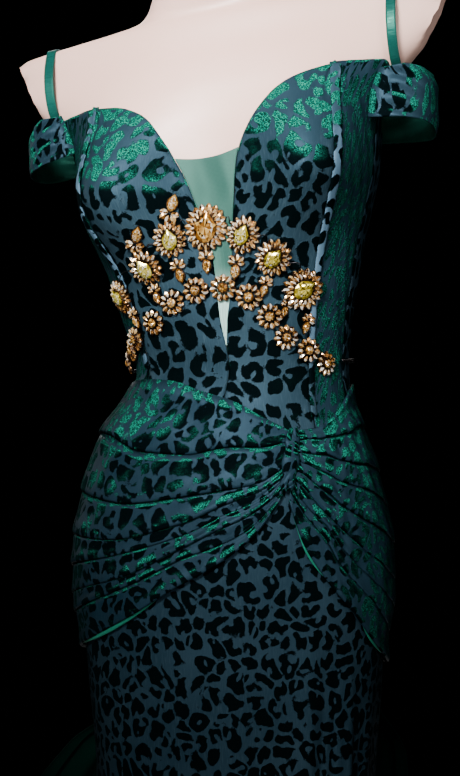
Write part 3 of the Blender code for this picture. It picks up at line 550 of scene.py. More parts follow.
def mintMesh():
    sheer = {"Sheen_Weight": 0.05, "Specular_IOR_Level": 0.1}
    material, tree, shader = startMaterial("mintMesh", roughness=0.6, **sheer)
    place = clothPlace(tree)
    warp = addNode(tree, "ShaderNodeTexWave", wave_type="BANDS", bands_direction="X")
    weft = addNode(tree, "ShaderNodeTexWave", wave_type="BANDS", bands_direction="Y")
    for made in (warp, weft):
        made.inputs["Scale"].default_value = meshLook["threads"]
        plug(tree, place, made.inputs["Vector"])
    threads = calc(tree, "MAXIMUM", warp.outputs["Fac"], weft.outputs["Fac"])
    softShade = noise(tree, stretch(tree, place, *meshLook["shades"]), 1.0, 2.0).outputs["Fac"]
    high = fade(tree, axisOf(tree, objectPlace(tree), 2), *meshLook["lowEnds"])
    deep = calc(tree, "MULTIPLY", fade(tree, softShade, 0.36, 0.62), high)
    colour = mixColour(tree, deep, meshLook["mint"], meshLook["shade"])
    colour = mixColour(tree, high, meshLook["low"], colour)
    colour = mixColour(tree, fade(tree, threads, 0.2, 0.9, 0.0, 0.12), colour, meshLook["thread"])
    plug(tree, colour, shader.inputs["Base Color"])
    plug(tree, fade(tree, threads, 0.2, 0.9, meshLook["holes"], 1.0), shader.inputs["Alpha"])
    bump(tree, shader, threads, meshLook["relief"])
    return material


# matt pearl paint, and brushed metal with rings round the pole
paintLook = {"deep": (0.770, 0.475, 0.390, 1), "light": (0.800, 0.510, 0.425, 1), "clouds": 5, "grain": 420}
metalLook = {"dark": (0.46, 0.46, 0.47, 1), "light": (0.62, 0.62, 0.63, 1), "rings": (30, 30, 1800)}


def formPaint():
    coat = {"Coat_Weight": 0.15, "Coat_Roughness": 0.35}
    material, tree, shader = startMaterial("formPaint", roughness=0.42, **coat)
    place = objectPlace(tree)
    cloudy = fade(tree, noise(tree, place, paintLook["clouds"], 3.0).outputs["Fac"], 0.35, 0.65)
    plug(tree, mixColour(tree, cloudy, paintLook["deep"], paintLook["light"]), shader.inputs["Base Color"])
    fine = noise(tree, place, paintLook["grain"], 2.0).outputs["Fac"]
    plug(tree, fade(tree, fine, 0.3, 0.7, 0.38, 0.46), shader.inputs["Roughness"])
    bump(tree, shader, fine, 0.0001, 0.4)
    return material


def brushedMetal():
    material, tree, shader = startMaterial("brushedMetal", roughness=0.32, metallic=1.0)
    place = objectPlace(tree)
    rings = noise(tree, stretch(tree, place, *metalLook["rings"]), 1.0, 2.0).outputs["Fac"]
    plug(tree, mixColour(tree, rings, metalLook["dark"], metalLook["light"]), shader.inputs["Base Color"])
    plug(tree, fade(tree, rings, 0.3, 0.7, 0.26, 0.40), shader.inputs["Roughness"])
    bump(tree, shader, rings, 0.0001, 0.4)
    return material


# glint: the colour of the painted glint on the brightest facets
stoneLook = {"foil": 0.62, "gloss": 0.35, "grain": 420, "glint": (1.0, 0.95, 0.86, 1)}


def cutStone(name, pale, deep, dark):
    # foil-backed glass with painted light: each facet has its own painted highlight or shade, and the
    # brightest a painted glint
    coat = {"Coat_Weight": stoneLook["gloss"], "Coat_Roughness": 0.04}
    material, tree, shader = startMaterial(name, roughness=0.10, metallic=stoneLook["foil"], **coat)
    tone = addNode(tree, "ShaderNodeAttribute", attribute_name="facetLightAndShade").outputs["Fac"]
    inner = noise(tree, objectPlace(tree), stoneLook["grain"], 1.0).outputs["Fac"]
    mixed = calc(tree, "MULTIPLY_ADD", calc(tree, "SUBTRACT", inner, 0.5), 0.5, tone)
    colour = mixColour(tree, fade(tree, mixed, 0.05, 0.50), dark, deep)
    colour = mixColour(tree, fade(tree, mixed, 0.45, 0.95), colour, pale)
    # painted glint on the brightest facets
    colour = mixColour(tree, fade(tree, mixed, 1.00, 1.08), colour, stoneLook["glint"])
    plug(tree, colour, shader.inputs["Base Color"])
    plug(tree, fade(tree, inner, 0.3, 0.7, 0.05, 0.14), shader.inputs["Roughness"])
    return material


def darkMetal(name, colour, roughness=0.35):
    material, tree, shader = startMaterial(name, roughness=roughness, metallic=1.0)
    worn = noise(tree, objectPlace(tree), 300, 3.0).outputs["Fac"]
    paler = tuple(min(1.0, 2.4 * part) for part in colour[:3]) + (1,)
    plug(tree, mixColour(tree, fade(tree, worn, 0.4, 0.75), colour, paler), shader.inputs["Base Color"])
    plug(tree, fade(tree, worn, 0.3, 0.7, roughness - 0.08, roughness + 0.12), shader.inputs["Roughness"])
    bump(tree, shader, worn, 0.0001, 0.5)
    return material


# painted light in these satins: the spots' green glint where the cloth tips up or turns aside, painted shade
# on the sides, painted shade over the whole ground where deep is given, and a painted highlight over the
# waist where pale is given
bodiceSatin = spottedSatin("bodiceSatin", 0.0215, (0.02, 0.30), shade=0.6, paintedGlintAbove=(1.10, 1.20))
backSatin = spottedSatin("backSatin", 0.0215, (0.10, 0.36), shade=0.5)
casingSatin = spottedSatin("casingSatin", 0.0190, (0.10, 0.36), shade=0.0, pale=0.85)
sideSatin = spottedSatin("sideSatin", 0.0185, (0.10, 0.36), shade=0.6, deep=0.65, paintedSideGlint=0.62,
                         long=(2.3, 0.72), tilt=0.32)
sleeveSatin = spottedSatin("sleeveSatin", 0.0215, (0.30, 0.62), shade=0.4, deep=0.45, paintedSideGlint=0.95,
                           sideFrom=(0.22, 0.50), long=(1.2, 0.85))
drapeSatin = spottedSatin("drapeSatin", 0.0180, (0.18, 0.42), shade=0.92, deep=0.74, paintedSideGlint=0.60,
                          sideFrom=(0.62, 0.94), crush=0.3)
skirtSatin = spottedSatin("skirtSatin", 0.0166, (0.30, 0.55), shade=0.95, deep=0.42)
emeraldLining = plainSatin("emeraldLining", (0.004, 0.044, 0.032, 1), (0.001, 0.014, 0.010, 1), 0.5)
# the train's dark emerald satin, its colour darkened further as painted shade
emeraldSatinShaded = plainSatin("emeraldSatinShaded", (0.0004, 0.0085, 0.0060, 1), (0.0002, 0.0030, 0.0022, 1), 0.50,
                          gloss=0.08)
emeraldFacing = plainSatin("emeraldFacing", (0.014, 0.190, 0.120, 1), (0.006, 0.100, 0.066, 1), 0.34)
emeraldRibbon = plainSatin("emeraldRibbon", (0.005, 0.066, 0.053, 1), (0.003, 0.034, 0.028, 1), 0.30)
meshMint = mintMesh()
pearlPaint = formPaint()
standMetal = brushedMetal()
# each stone's painted highlight colour, its mid tone and its painted shade colour
petalStone = cutStone("petalStone", (0.98, 0.64, 0.27, 1), (0.42, 0.180, 0.040, 1), (0.026, 0.009, 0.003, 1))
amberStone = cutStone("amberStone", (0.95, 0.56, 0.150, 1), (0.34, 0.130, 0.018, 1), (0.030, 0.010, 0.002, 1))
canaryStone = cutStone("canaryStone", (0.98, 0.86, 0.20, 1), (0.50, 0.37, 0.022, 1), (0.070, 0.046, 0.003, 1))
settingMetal = darkMetal("settingMetal", (0.040, 0.020, 0.010, 1))
chainMetal = darkMetal("chainMetal", (0.016, 0.015, 0.016, 1), 0.3)
print("materials made:", len(bpy.data.materials))


# cloth


def evenly(count):
    return np.linspace(0, 1, count + 1)


def showMesh(name, points, faces, materials):
    mesh = bpy.data.meshes.new(name)
    mesh.from_pydata(points, [], faces)
    for material in materials:
        mesh.materials.append(material)
    piece = bpy.data.objects.new(name, mesh)
    bpy.context.scene.collection.objects.link(piece)
    return piece


def ringFaces(rings, count):
    # faces between closed rings of points, from each ring to the next
    faces = []
    for j in range(rings - 1):
        for i in range(count):
            k = (i + 1) % count
            faces.append((j * count + i, j * count + k, (j + 1) * count + k, (j + 1) * count + i))
    return faces


def clothMap(points, anchor, gather):
    # metres along each row from the anchor column, and metres up each column
    rowSteps = np.linalg.norm(np.diff(points, axis=1), axis=2)
    alongRow = np.concatenate([np.zeros((len(points), 1)), np.cumsum(rowSteps, axis=1)], axis=1)
    middle = round(anchor * (points.shape[1] - 1))
    upSteps = np.linalg.norm(np.diff(points, axis=0), axis=2)
    upColumn = np.concatenate([np.zeros((1, points.shape[1])), np.cumsum(upSteps, axis=0)], axis=0)
    return np.stack([(alongRow - alongRow[:, middle:middle + 1]) * gather, upColumn], axis=-1)


def sewCloth(name, place, across, up, materials, thickness=0.0009, anchor=0.5, gather=1.0, start=(0, 0),
             chart=None, paintedGlintEdge=None):
    # a sheet through place(u, v), with its own metres as its map; a second material lines it,
    # gather is how much cloth there is for each metre that shows
    u, v = np.meshgrid(across, up)
    points = place(u, v)
    rows, columns = u.shape
    first = (np.arange(rows - 1)[:, None] * columns + np.arange(columns - 1)[None, :]).ravel()
    faces = np.stack([first, first + 1, first + 1 + columns, first + columns], axis=1)
    piece = showMesh(name, points.reshape(-1, 3).tolist(), faces.tolist(), materials)
    metres = clothMap(points, anchor, gather) if chart is None else chart(u, v)
    layer = piece.data.uv_layers.new(name="clothMetres")
    layer.data.foreach_set("uv", (metres.reshape(-1, 2) + start)[faces].ravel())
    # painted glint: a share for each point along a folded edge, where the material paints green dashes
    if paintedGlintEdge is not None:
        edges = piece.data.attributes.new("paintedGlintEdge", "FLOAT", "POINT")
        edges.data.foreach_set("value", np.clip(paintedGlintEdge(u, v), 0, 1).ravel())
    piece.data.shade_smooth()
    wall = piece.modifiers.new("wall", "SOLIDIFY")
    wall.thickness = thickness
    wall.offset = 1.0
    wall.use_even_offset = False
    wall.material_offset = 1 if len(materials) > 1 else 0
    wall.material_offset_rim = 0
    stepAcross = points[:-1, 1:] - points[:-1, :-1]
    stepUp = points[1:, :-1] - points[:-1, :-1]
    piece["clothArea"] = float(np.linalg.norm(np.cross(stepAcross, stepUp), axis=2).sum())
    return piece


def dress(piece, slotName, *nodes):
    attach(piece, "root")
    if nodes:
        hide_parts(*nodes)
    return piece


# the form and its stand
form = {
    "inset": 0.0022,  # inside the figure that the cloth follows
    "columns": 128,
    "foot": 0.760,
    "shoulders": (1.40, 1.47),  # the rows lie closer between these heights
    "top": 1.560,
    "rows": (100, 34, 16),  # below the shoulders, over them and up the neck
    "edgeRound": 0.006,
    "neckRadius": 0.053,
}


def formTorso():
    angles = np.arange(form["columns"]) * 2 * np.pi / form["columns"]
    low, high = form["shoulders"]
    below, over, neck = form["rows"]
    heights = np.concatenate([
        np.linspace(form["foot"], low, below),
        np.linspace(low + 0.003, high, over),
        np.linspace(high + 0.005, form["top"] - form["edgeRound"], neck),
    ])
    rings = [onFigure(angles, np.full(len(angles), z), -form["inset"]) for z in heights]
    rings[0][:, 2] = form["foot"]
    last = rings[-1]
    last[:, 2] = heights[-1]
    middle = last.mean(axis=0)
    for turn in np.radians((30, 60, 90)):
        ring = last.copy()
        shrink = 1 - form["edgeRound"] * (1 - math.cos(turn)) / form["neckRadius"]
        ring[:, :2] = middle[:2] + (last[:, :2] - middle[:2]) * shrink
        ring[:, 2] = heights[-1] + form["edgeRound"] * math.sin(turn)
        rings.append(ring)
    points = np.concatenate(rings)
    count = form["columns"]
    faces = ringFaces(len(rings), count)
    faces.append(tuple(range(count))[::-1])
    faces.append(tuple(range((len(rings) - 1) * count, len(rings) * count)))
    torso = showMesh("formTorso", points.tolist(), faces, [pearlPaint])
    torso.data.shade_smooth()
    torso.data.set_sharp_from_angle(angle=math.radians(40))
    return dress(torso, "form_paint", "form_torso")


def paintStand():
    for name in ("stand_base", "stand_pole"):
        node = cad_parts[name]
        node.data.materials.clear()
        node.data.materials.append(standMetal)


formTorso()
paintStand()
print("form and stand made")

# the bodice
bodice = {
    "out": 0.0009,  # from the figure to the cloth
    "seam": 0.0003,
    "princess": math.radians(47.5),
    "princessGap": 0.0033,  # from the princess seam to the cloth on each side of it, in radians
    "sideSeam": math.radians(78),
    "sideSeamGap": 0.0018,  # in radians
    "waist": 0.975,
    "top": 1.345,
    "cupTops": (1.29, 0.055, 1.6),  # where the close rows start, how far they reach and how they close up
    "armhole": (math.radians(66), math.radians(92)),
    "armholeFoot": 1.280,
    "backTop": 1.262,
    "backRise": 0.7,  # radians over which the armhole runs out into the back's top edge
    "seamGroove": 0.0007,
    "grooveWidth": 0.0022,
    "frontLeast": 0.03,  # the narrowest that a front gets, in radians
    "frontSoft": 0.0004,
    "frontPulls": 0.0013,
    "pullCorner": (0.55, 1.285, 1.335),  # where the pulls start: share of the width, and two heights
    "middleBackGap": 0.004,  # in radians
    "sideCrush": 0.00045,  # height of the slanting creases of the sides
    "backSoft": 0.0005,
}
necklineColumns = ("height", "halfGap", "middle")
neckline = (
    (0.975, 0.0003, 0.0070),
    (1.054, 0.0003, 0.0065),
    (1.086, 0.0003, 0.0055),
    (1.110, 0.0028, 0.0050),
    (1.131, 0.0054, 0.0065),
    (1.157, 0.0080, 0.0080),
    (1.183, 0.0104, 0.0080),
    (1.210, 0.0153, 0.0062),
    (1.235, 0.0205, 0.0048),
    (1.250, 0.0237, 0.0035),
    (1.277, 0.0325, 0.0010),
    (1.305, 0.0480, -0.0004),
    (1.321, 0.0610, 0.0000),
    (1.331, 0.0760, 0.0000),
    (1.337, 0.0900, 0.0000),
    (1.341, 0.1080, 0.0000),
    (1.345, 0.1260, 0.0000),
)
sides = ((1, "left", "Left"), (-1, "right", "Right"))


def neckAngle(z, share):
    heights = tableColumn(neckline, necklineColumns, "height")
    halfGap = smoothTable(z, heights, tableColumn(neckline, necklineColumns, "halfGap"))
    middle = smoothTable(z, heights, tableColumn(neckline, necklineColumns, "middle"))
    return angleAcross(uprightPoint(0 * z, z)[..., 0] + middle + share * halfGap, z)


def topEdge(angle):
    front = mix(bodice["top"], bodice["armholeFoot"], ramp(np.abs(angle), *bodice["armhole"]))
    end = bodice["armhole"][1]
    return mix(front, bodice["backTop"], ramp(np.abs(angle), end, end + bodice["backRise"]))


def fromMiddle(u, side):
    # share of a half's width, from the middle of the body to its side
    return u if side > 0 else 1 - u


def seamDip(u, width):
    # the cloth rolls in at its two long edges
    edge = np.minimum(u, 1 - u) * width
    return -bodice["seamGroove"] * np.exp(-((edge / bodice["grooveWidth"]) ** 2))


def frontRows():
    # even rows, then rows that close up towards the cups' tops
    closeFrom, reach, closing = bodice["cupTops"]
    low = np.linspace(bodice["waist"] + bodice["seam"], closeFrom, 104)
    high = bodice["top"] - reach * (1 - np.linspace(0.02, 1, 40)) ** closing
    return np.concatenate([low, high[high > closeFrom + 0.0025]])


def bodiceFront(side, name, node):
    heights = frontRows()

    def place(u, v):
        z = np.interp(v, np.linspace(0, 1, len(heights)), heights)
        inner = side * np.minimum(side * neckAngle(z, side), bodice["princess"] - bodice["frontLeast"])
        outer = side * (bodice["princess"] - bodice["princessGap"])
        share = fromMiddle(u, side)
        angle = mix(inner, outer, share)
        out = bodice["out"] + seamDip(share, 0.09)
        out = out + bodice["frontSoft"] * ripple(angle * 0.12, z, seed=3, pitch=22) * ramp(z, 1.0, 1.05)
        # pulls that fan out from the upper outer corner, where the sleeve is sewn on
        aside, low, high = bodice["pullCorner"]
        corner = ramp(share, aside, 1.0) * ramp(z, low, high)
        pulls = 1 + np.sin(2 * np.pi * (5.2 * share + 9 * (z - 1.30)))
        return onFigure(angle, z, out + bodice["frontPulls"] * corner * pulls)

    def paintedGlintEdge(u, v):
        # painted glint along the panel's two long edges
        share = fromMiddle(u, side)
        return np.maximum(ramp(share, 0.965, 0.99), 0.6 * ramp(0.03 - share, 0.0, 0.02))

    piece = sewCloth(name, place, evenly(54), evenly(len(heights) - 1), [bodiceSatin, emeraldLining],
                     anchor=fromMiddle(1.0, side), start=(0.31, 0.07) if side > 0 else (0.93, 0.41),
                     paintedGlintEdge=paintedGlintEdge)
    return dress(piece, "leopard_satin", node)


def bodiceSide(side, name, node):
    def place(u, v):
        share = fromMiddle(u, side)
        first = bodice["princess"] + bodice["princessGap"]
        last = bodice["sideSeam"] - bodice["sideSeamGap"]
        angle = side * mix(first, last, share)
        z = mix(bodice["waist"] + bodice["seam"], topEdge(angle), v)
        crease = np.sin(2 * np.pi * (2.5 * share + 0.8 * np.sin(9 * z + 2 * share) + 14 * z))
        fine = ripple(share * 0.06, z * 0.16, seed=17 + side, pitch=130)
        out = bodice["out"] + bodice["sideCrush"] * (0.55 * (1 + crease) + 0.35 * np.abs(fine))
        out = out + seamDip(share, 0.055)
        return onFigure(angle, z, out)

    piece = sewCloth(name, place, evenly(60), evenly(120), [sideSatin, emeraldLining],
                     start=(1.71 + side, 0.23))
    return dress(piece, "leopard_satin", node)


def bodiceBack(side, name, node):
    def place(u, v):
        share = fromMiddle(u, side)
        first = bodice["sideSeam"] + bodice["sideSeamGap"]
        angle = side * mix(first, math.pi - bodice["middleBackGap"], share)
        z = mix(bodice["waist"] + bodice["seam"], topEdge(angle), v)
        pull = ripple(angle * 0.10, z * 0.8, seed=29 + side, pitch=26)
        pull = pull * ramp(1.06 - np.abs(z - 1.07), 0.9, 1.06)
        out = bodice["out"] + bodice["backSoft"] * (1 + 0.5 * pull) + seamDip(share, 0.19)
        return onFigure(angle, z, out)

    piece = sewCloth(name, place, evenly(84), evenly(100), [backSatin, emeraldLining],
                     start=(3.3 + side, 0.9))
    return dress(piece, "leopard_satin", node)


casing = {
    "lift": 0.0038,
    "foot": {"left": 1.024, "right": 1.076},
    "underTop": 0.004,
    "halfWidth": (0.024, 0.034),  # at the waist and over the bust, in radians
    "crown": 0.0010,
    "sunk": 0.0006,  # how far its edges lie under its lift
    "pucker": 0.00035,
    "stitch": 0.011,
}


def bonedCasing(side, word, name, node):
    foot = casing["foot"][word]

    def place(u, v):
        z = mix(foot, bodice["top"] - casing["underTop"], v)
        half = mix(*casing["halfWidth"], ramp(z, 1.05, 1.30))
        crown = casing["crown"] * (1 - (2 * u - 1) ** 4) - casing["sunk"]
        pucker = casing["pucker"] * np.sin(2 * np.pi * z / casing["stitch"]) * (2 * u - 1) ** 2
        return onFigure(side * bodice["princess"] + (2 * u - 1) * half, z, casing["lift"] + crown + pucker)

    def paintedGlintEdge(u, v):
        # painted glint in dashes along the casing's two edges
        return 0.8 * ramp(np.abs(2 * u - 1), 0.80, 0.98) * ramp(np.sin(23 * v + 3 * u + side), -0.1, 0.5)

    piece = sewCloth(name, place, evenly(12), evenly(110), [casingSatin], start=(5.1 + side, 0.15),
                     paintedGlintEdge=paintedGlintEdge)
    return dress(piece, "leopard_satin", node)


meshInsert = {"foot": 1.092, "top": 1.272, "sag": 0.004, "underEdge": 0.985, "soft": 0.0005}


def mintInsert():
    def place(u, v):
        z = mix(meshInsert["foot"], meshInsert["top"], v) + meshInsert["sag"] * (2 * u - 1) ** 2 * v**2
        angle = neckAngle(z, meshInsert["underEdge"] * (2 * u - 1))
        soft = np.cos(2 * np.pi * (2.5 * u + 3 * z)) * np.sin(np.pi * u)
        out = bodice["out"] + meshInsert["soft"] * soft
        return onFigure(angle, z, out)

    piece = sewCloth("mintInsert", place, evenly(20), evenly(70), [meshMint], thickness=0.0004)
    return dress(piece, "mint_mesh", "mesh_insert")


# each side's front, side panel, back and boned casing
for side, word, ending in sides:
    piece = bodiceFront(side, "bodiceFront" + ending, "bodice_front_" + word)
    piece = bodiceSide(side, "bodiceSide" + ending, "bodice_side_" + word)
    piece = bodiceBack(side, "bodiceBack" + ending, "bodice_back_" + word)
    piece = bonedCasing(side, word, "bonedCasing" + ending, "bodice_casing_" + word)
mintInsert()
print("bodice sewn")

# sleeves and straps
sleeves = {
    "front": math.radians(66),
    "back": math.radians(118),
    "heights": {"left": (1.280, 1.336), "right": (1.299, 1.350)},
    "reach": 0.208,
    "fullness": 0.42,
    "lift": 0.0016,
    "sag": {"left": 0.012, "right": 0.004},
    "clear": {"left": 0.0017, "right": 0.0003},
    "roll": 0.005,
    "topFall": 0.008,
    "footRise": 0.010,
    "gathers": 0.0014,
}


def sleeveLoop(side, word, name, node):
    foot, top = sleeves["heights"][word]

    def place(u, v):
        share = fromMiddle(u, side)
        bulge = np.sin(np.pi * share) ** sleeves["fullness"]
        z = mix(foot + sleeves["footRise"] * (1 - bulge), top, v)
        out = bodice["out"] + sleeves["lift"] + sleeves["clear"][word]
        front = onFigure(0 * z + side * sleeves["front"], z, out)
        back = onFigure(0 * z + side * sleeves["back"], z, out)
        rolled = sleeves["roll"] * bulge * (ramp(v, 0.75, 1.0) + 0.4 * ramp(1 - v, 0.8, 1.0))
        points = mix(front, back, ((1 - np.cos(np.pi * share)) / 2)[..., None])
        widest = side * sleeves["reach"] + level("shift", top)
        # the cloth is gathered where it is sewn on and softly dented in the middle
        nearEnds = ramp(share, 0.0, 0.03) * (ramp(0.30 - share, 0.0, 0.22) + ramp(share - 0.75, 0.0, 0.2))
        fold = np.sin(2 * np.pi * (3.1 * v + 2.2 * share + 0.35 * np.sin(6 * share))) * nearEnds
        soft = 0.35 * np.sin(2 * np.pi * (1.2 * v - 1.7 * share)) * np.sin(np.pi * share)
        puff = sleeves["gathers"] * (fold + soft)
        points[..., 0] = mix(points[..., 0], widest, bulge) - side * rolled + side * puff * 0.8
        points[..., 1] = points[..., 1] - puff * np.cos(np.pi * share)
        sag = sleeves["sag"][word] * ramp(share, 0.15, 0.75) * (1 - v)
        fall = sleeves["topFall"] * np.sin(np.pi * share) ** 2 * v
        points[..., 2] = z - sag - fall + points[..., 0] * figure["lean"]
        return points

    piece = sewCloth(name, place, evenly(150), evenly(34), [sleeveSatin, emeraldLining],
                     start=(6.4 + side, 0.37), gather=1.15)
    return dress(piece, "leopard_satin", node)


strap = {"halfWidth": 0.00475, "thickness": 0.0010, "centre": 0.012, "stations": 19, "near": 0.07}


def solidPoints(node):
    return np.array([vertex.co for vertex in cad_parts[node].data.vertices])


def shoulderStrap(name, node):
    # the ribbon keeps the solid's own run over the shoulder: its middle line is read from the node
    solid = solidPoints(node)
    centre = np.array((solid[:, 0].mean(), strap["centre"], solid[:, 2].min()))
    turns = np.arctan2(solid[:, 1] - centre[1], solid[:, 2] - centre[2])
    reach = np.hypot(solid[:, 1] - centre[1], solid[:, 2] - centre[2])
    steps = np.linspace(turns.min(), turns.max(), strap["stations"])
    near = [np.abs(turns - step) < strap["near"] for step in steps]
    radius = np.array([reach[pick].min() for pick in near])
    sideways = np.array([(solid[pick, 0].min() + solid[pick, 0].max()) / 2 for pick in near])

    def place(u, v):
        turn = mix(steps[0], steps[-1], u)
        far = smoothTable(turn, steps, radius)
        across = smoothTable(turn, steps, sideways)
        offset = strap["halfWidth"] * (1 - 2 * v)
        up = centre[2] + far * np.cos(turn) + offset * figure["lean"]
        return np.stack([across + offset, centre[1] + far * np.sin(turn), up], axis=-1)

    piece = sewCloth(name, place, evenly(72), evenly(6), [emeraldRibbon], thickness=strap["thickness"])
    return dress(piece, "emerald_ribbon", node)


for side, word, ending in sides:
    piece = sleeveLoop(side, word, "sleeveLoop" + ending, "sleeve_" + word)
    piece = shoulderStrap("shoulderStrap" + ending, "strap_" + word)
print("sleeves and straps sewn")

# the hip drape: bands of cloth that lap over each other and meet in a gather
drapeColumns = ("upperDegrees", "upper", "lowerDegrees", "lower")
rightDrape = (
    (34.5, 1.010, 28.0, 0.950),
    (24.5, 1.021, 16.0, 0.911),
    (8.0, 1.039, 3.0, 0.884),
    (-9.0, 1.049, -9.0, 0.866),
    (-28.0, 1.060, -28.0, 0.835),
    (-48.0, 1.062, -48.0, 0.813),
    (-75.0, 1.056, -75.0, 0.795),
    (-103.0, 1.049, -103.0, 0.785),
    (-130.0, 1.040, -130.0, 0.780),
    (-156.0, 1.030, -156.0, 0.778),
    (-179.7, 1.028, -179.7, 0.778),
)
leftDrape = (
    (37.2, 1.010, 30.4, 0.946),
    (46.0, 1.012, 33.5, 0.911),
    (55.0, 1.019, 42.5, 0.871),
    (66.0, 1.031, 52.0, 0.844),
    (81.0, 1.046, 67.0, 0.814),
    (100.0, 1.052, 90.0, 0.788),
    (124.0, 1.046, 118.0, 0.778),
    (151.0, 1.034, 149.0, 0.776),
    (179.7, 1.028, 179.7, 0.778),
)
drape = {
    "out": 0.0045,
    "rise": 0.0028,
    "tuckCloth": 0.011,  # cloth hidden in each lap
    "tuckAside": 0.35,  # how much of it lies sideways
    "pleats": 0.0009,
    "pleatCount": 24,
    "pleatReach": 0.11,  # share of the way round over which the pleats fade
    "crumple": 0.0004,
    "mapRadius": 0.135,
    "columns": {"right": 230, "left": 190},
}
# where the laps run: the share of the depth, from below, at each station from the gather,
# and then how strong each lap is there
rightStations = (0.0, 0.10, 0.20, 0.30, 0.40, 0.50, 0.60, 1.0)
rightLaps = (
    ((0.06, 0.10, 0.12, 0.13, 0.13, 0.13, 0.13, 0.13), (0.0, 0.0, 0.2, 0.5, 0.7, 0.6, 0.5, 0.4)),
    ((0.16, 0.23, 0.22, 0.185, 0.175, 0.19, 0.20, 0.20), (0.5, 1.0, 1.0, 1.0, 0.9, 0.5, 0.3, 0.3)),
    ((0.24, 0.31, 0.29, 0.25, 0.27, 0.29, 0.31, 0.31), (0.0, 0.0, 0.0, 0.1, 0.5, 0.8, 0.8, 0.6)),
    ((0.32, 0.40, 0.36, 0.315, 0.33, 0.375, 0.43, 0.43), (0.8, 1.0, 1.0, 1.0, 1.0, 0.9, 0.8, 0.8)),
    ((0.50, 0.475, 0.46, 0.455, 0.475, 0.53, 0.59, 0.58), (0.7, 0.9, 0.9, 0.8, 1.0, 1.0, 1.0, 0.8)),
    ((0.84, 0.775, 0.72, 0.67, 0.695, 0.77, 0.81, 0.80), (0.4, 0.6, 0.5, 0.4, 0.9, 1.0, 1.0, 0.8)),
)
leftStations = (0.0, 0.10, 0.20, 0.30, 0.45, 0.70, 1.0)
leftLaps = (
    ((0.13, 0.19, 0.22, 0.16, 0.13, 0.11, 0.11), (0.6, 0.9, 0.8, 0.5, 0.1, 0.0, 0.3)),
    ((0.22, 0.28, 0.30, 0.25, 0.215, 0.20, 0.20), (0.8, 1.0, 1.0, 0.8, 0.25, 0.0, 0.0)),
    ((0.33, 0.405, 0.38, 0.35, 0.31, 0.30, 0.30), (0.8, 1.0, 0.9, 0.5, 0.1, 0.1, 0.4)),
    ((0.45, 0.53, 0.53, 0.49, 0.45, 0.43, 0.43), (0.7, 1.0, 1.0, 0.9, 0.6, 0.3, 0.5)),
    ((0.58, 0.65, 0.66, 0.63, 0.60, 0.56, 0.56), (0.6, 0.8, 0.8, 0.6, 0.4, 0.4, 0.5)),
    ((0.70, 0.765, 0.79, 0.755, 0.71, 0.69, 0.69), (0.6, 1.0, 1.0, 0.9, 0.8, 0.6, 0.6)),
    ((0.86, 0.91, 0.91, 0.89, 0.86, 0.85, 0.85), (0.4, 0.7, 0.8, 0.9, 0.9, 0.7, 0.6)),
)
# one band from its tuck up: share of the band, metres up from its edge, share of the rise
lapProfile = (
    (0.00, 0.0020, 0.00),
    (0.00, 0.0010, 0.22),
    (0.00, 0.0, 0.55),
    (0.00, -0.0005, 0.82),
    (0.015, -0.0002, 0.96),
    (0.05, 0.0, 1.00),
    (0.10, 0.0, 0.98),
    (0.17, 0.0, 0.88),
    (0.25, 0.0, 0.70),
    (0.33, 0.0, 0.50),
    (0.42, 0.0, 0.31),
    (0.52, 0.0, 0.16),
    (0.64, 0.0, 0.06),
    (0.80, 0.0, 0.01),
)


def drapeRows(count):
    # band number, share of the band, lift and rise for each row of the cloth
    rows = [(band, *step) for band in range(count) for step in lapProfile]
    return np.array(rows + [(count - 1, 1.0, 0.0, 0.0)])


def drapeEdges(table, along):
    # both edges of the drape: angle and height of each at that share of the way round
    stations = np.linspace(0, 1, len(table))
    return [smoothTable(along, stations, tableColumn(table, drapeColumns, name)) for name in drapeColumns]


def onDrape(edges, share):
    # angle and height at that share of the drape's depth, from below
    upperDegrees, upper, lowerDegrees, lower = edges
    return np.radians(mix(lowerDegrees, upperDegrees, share)), mix(lower, upper, share)


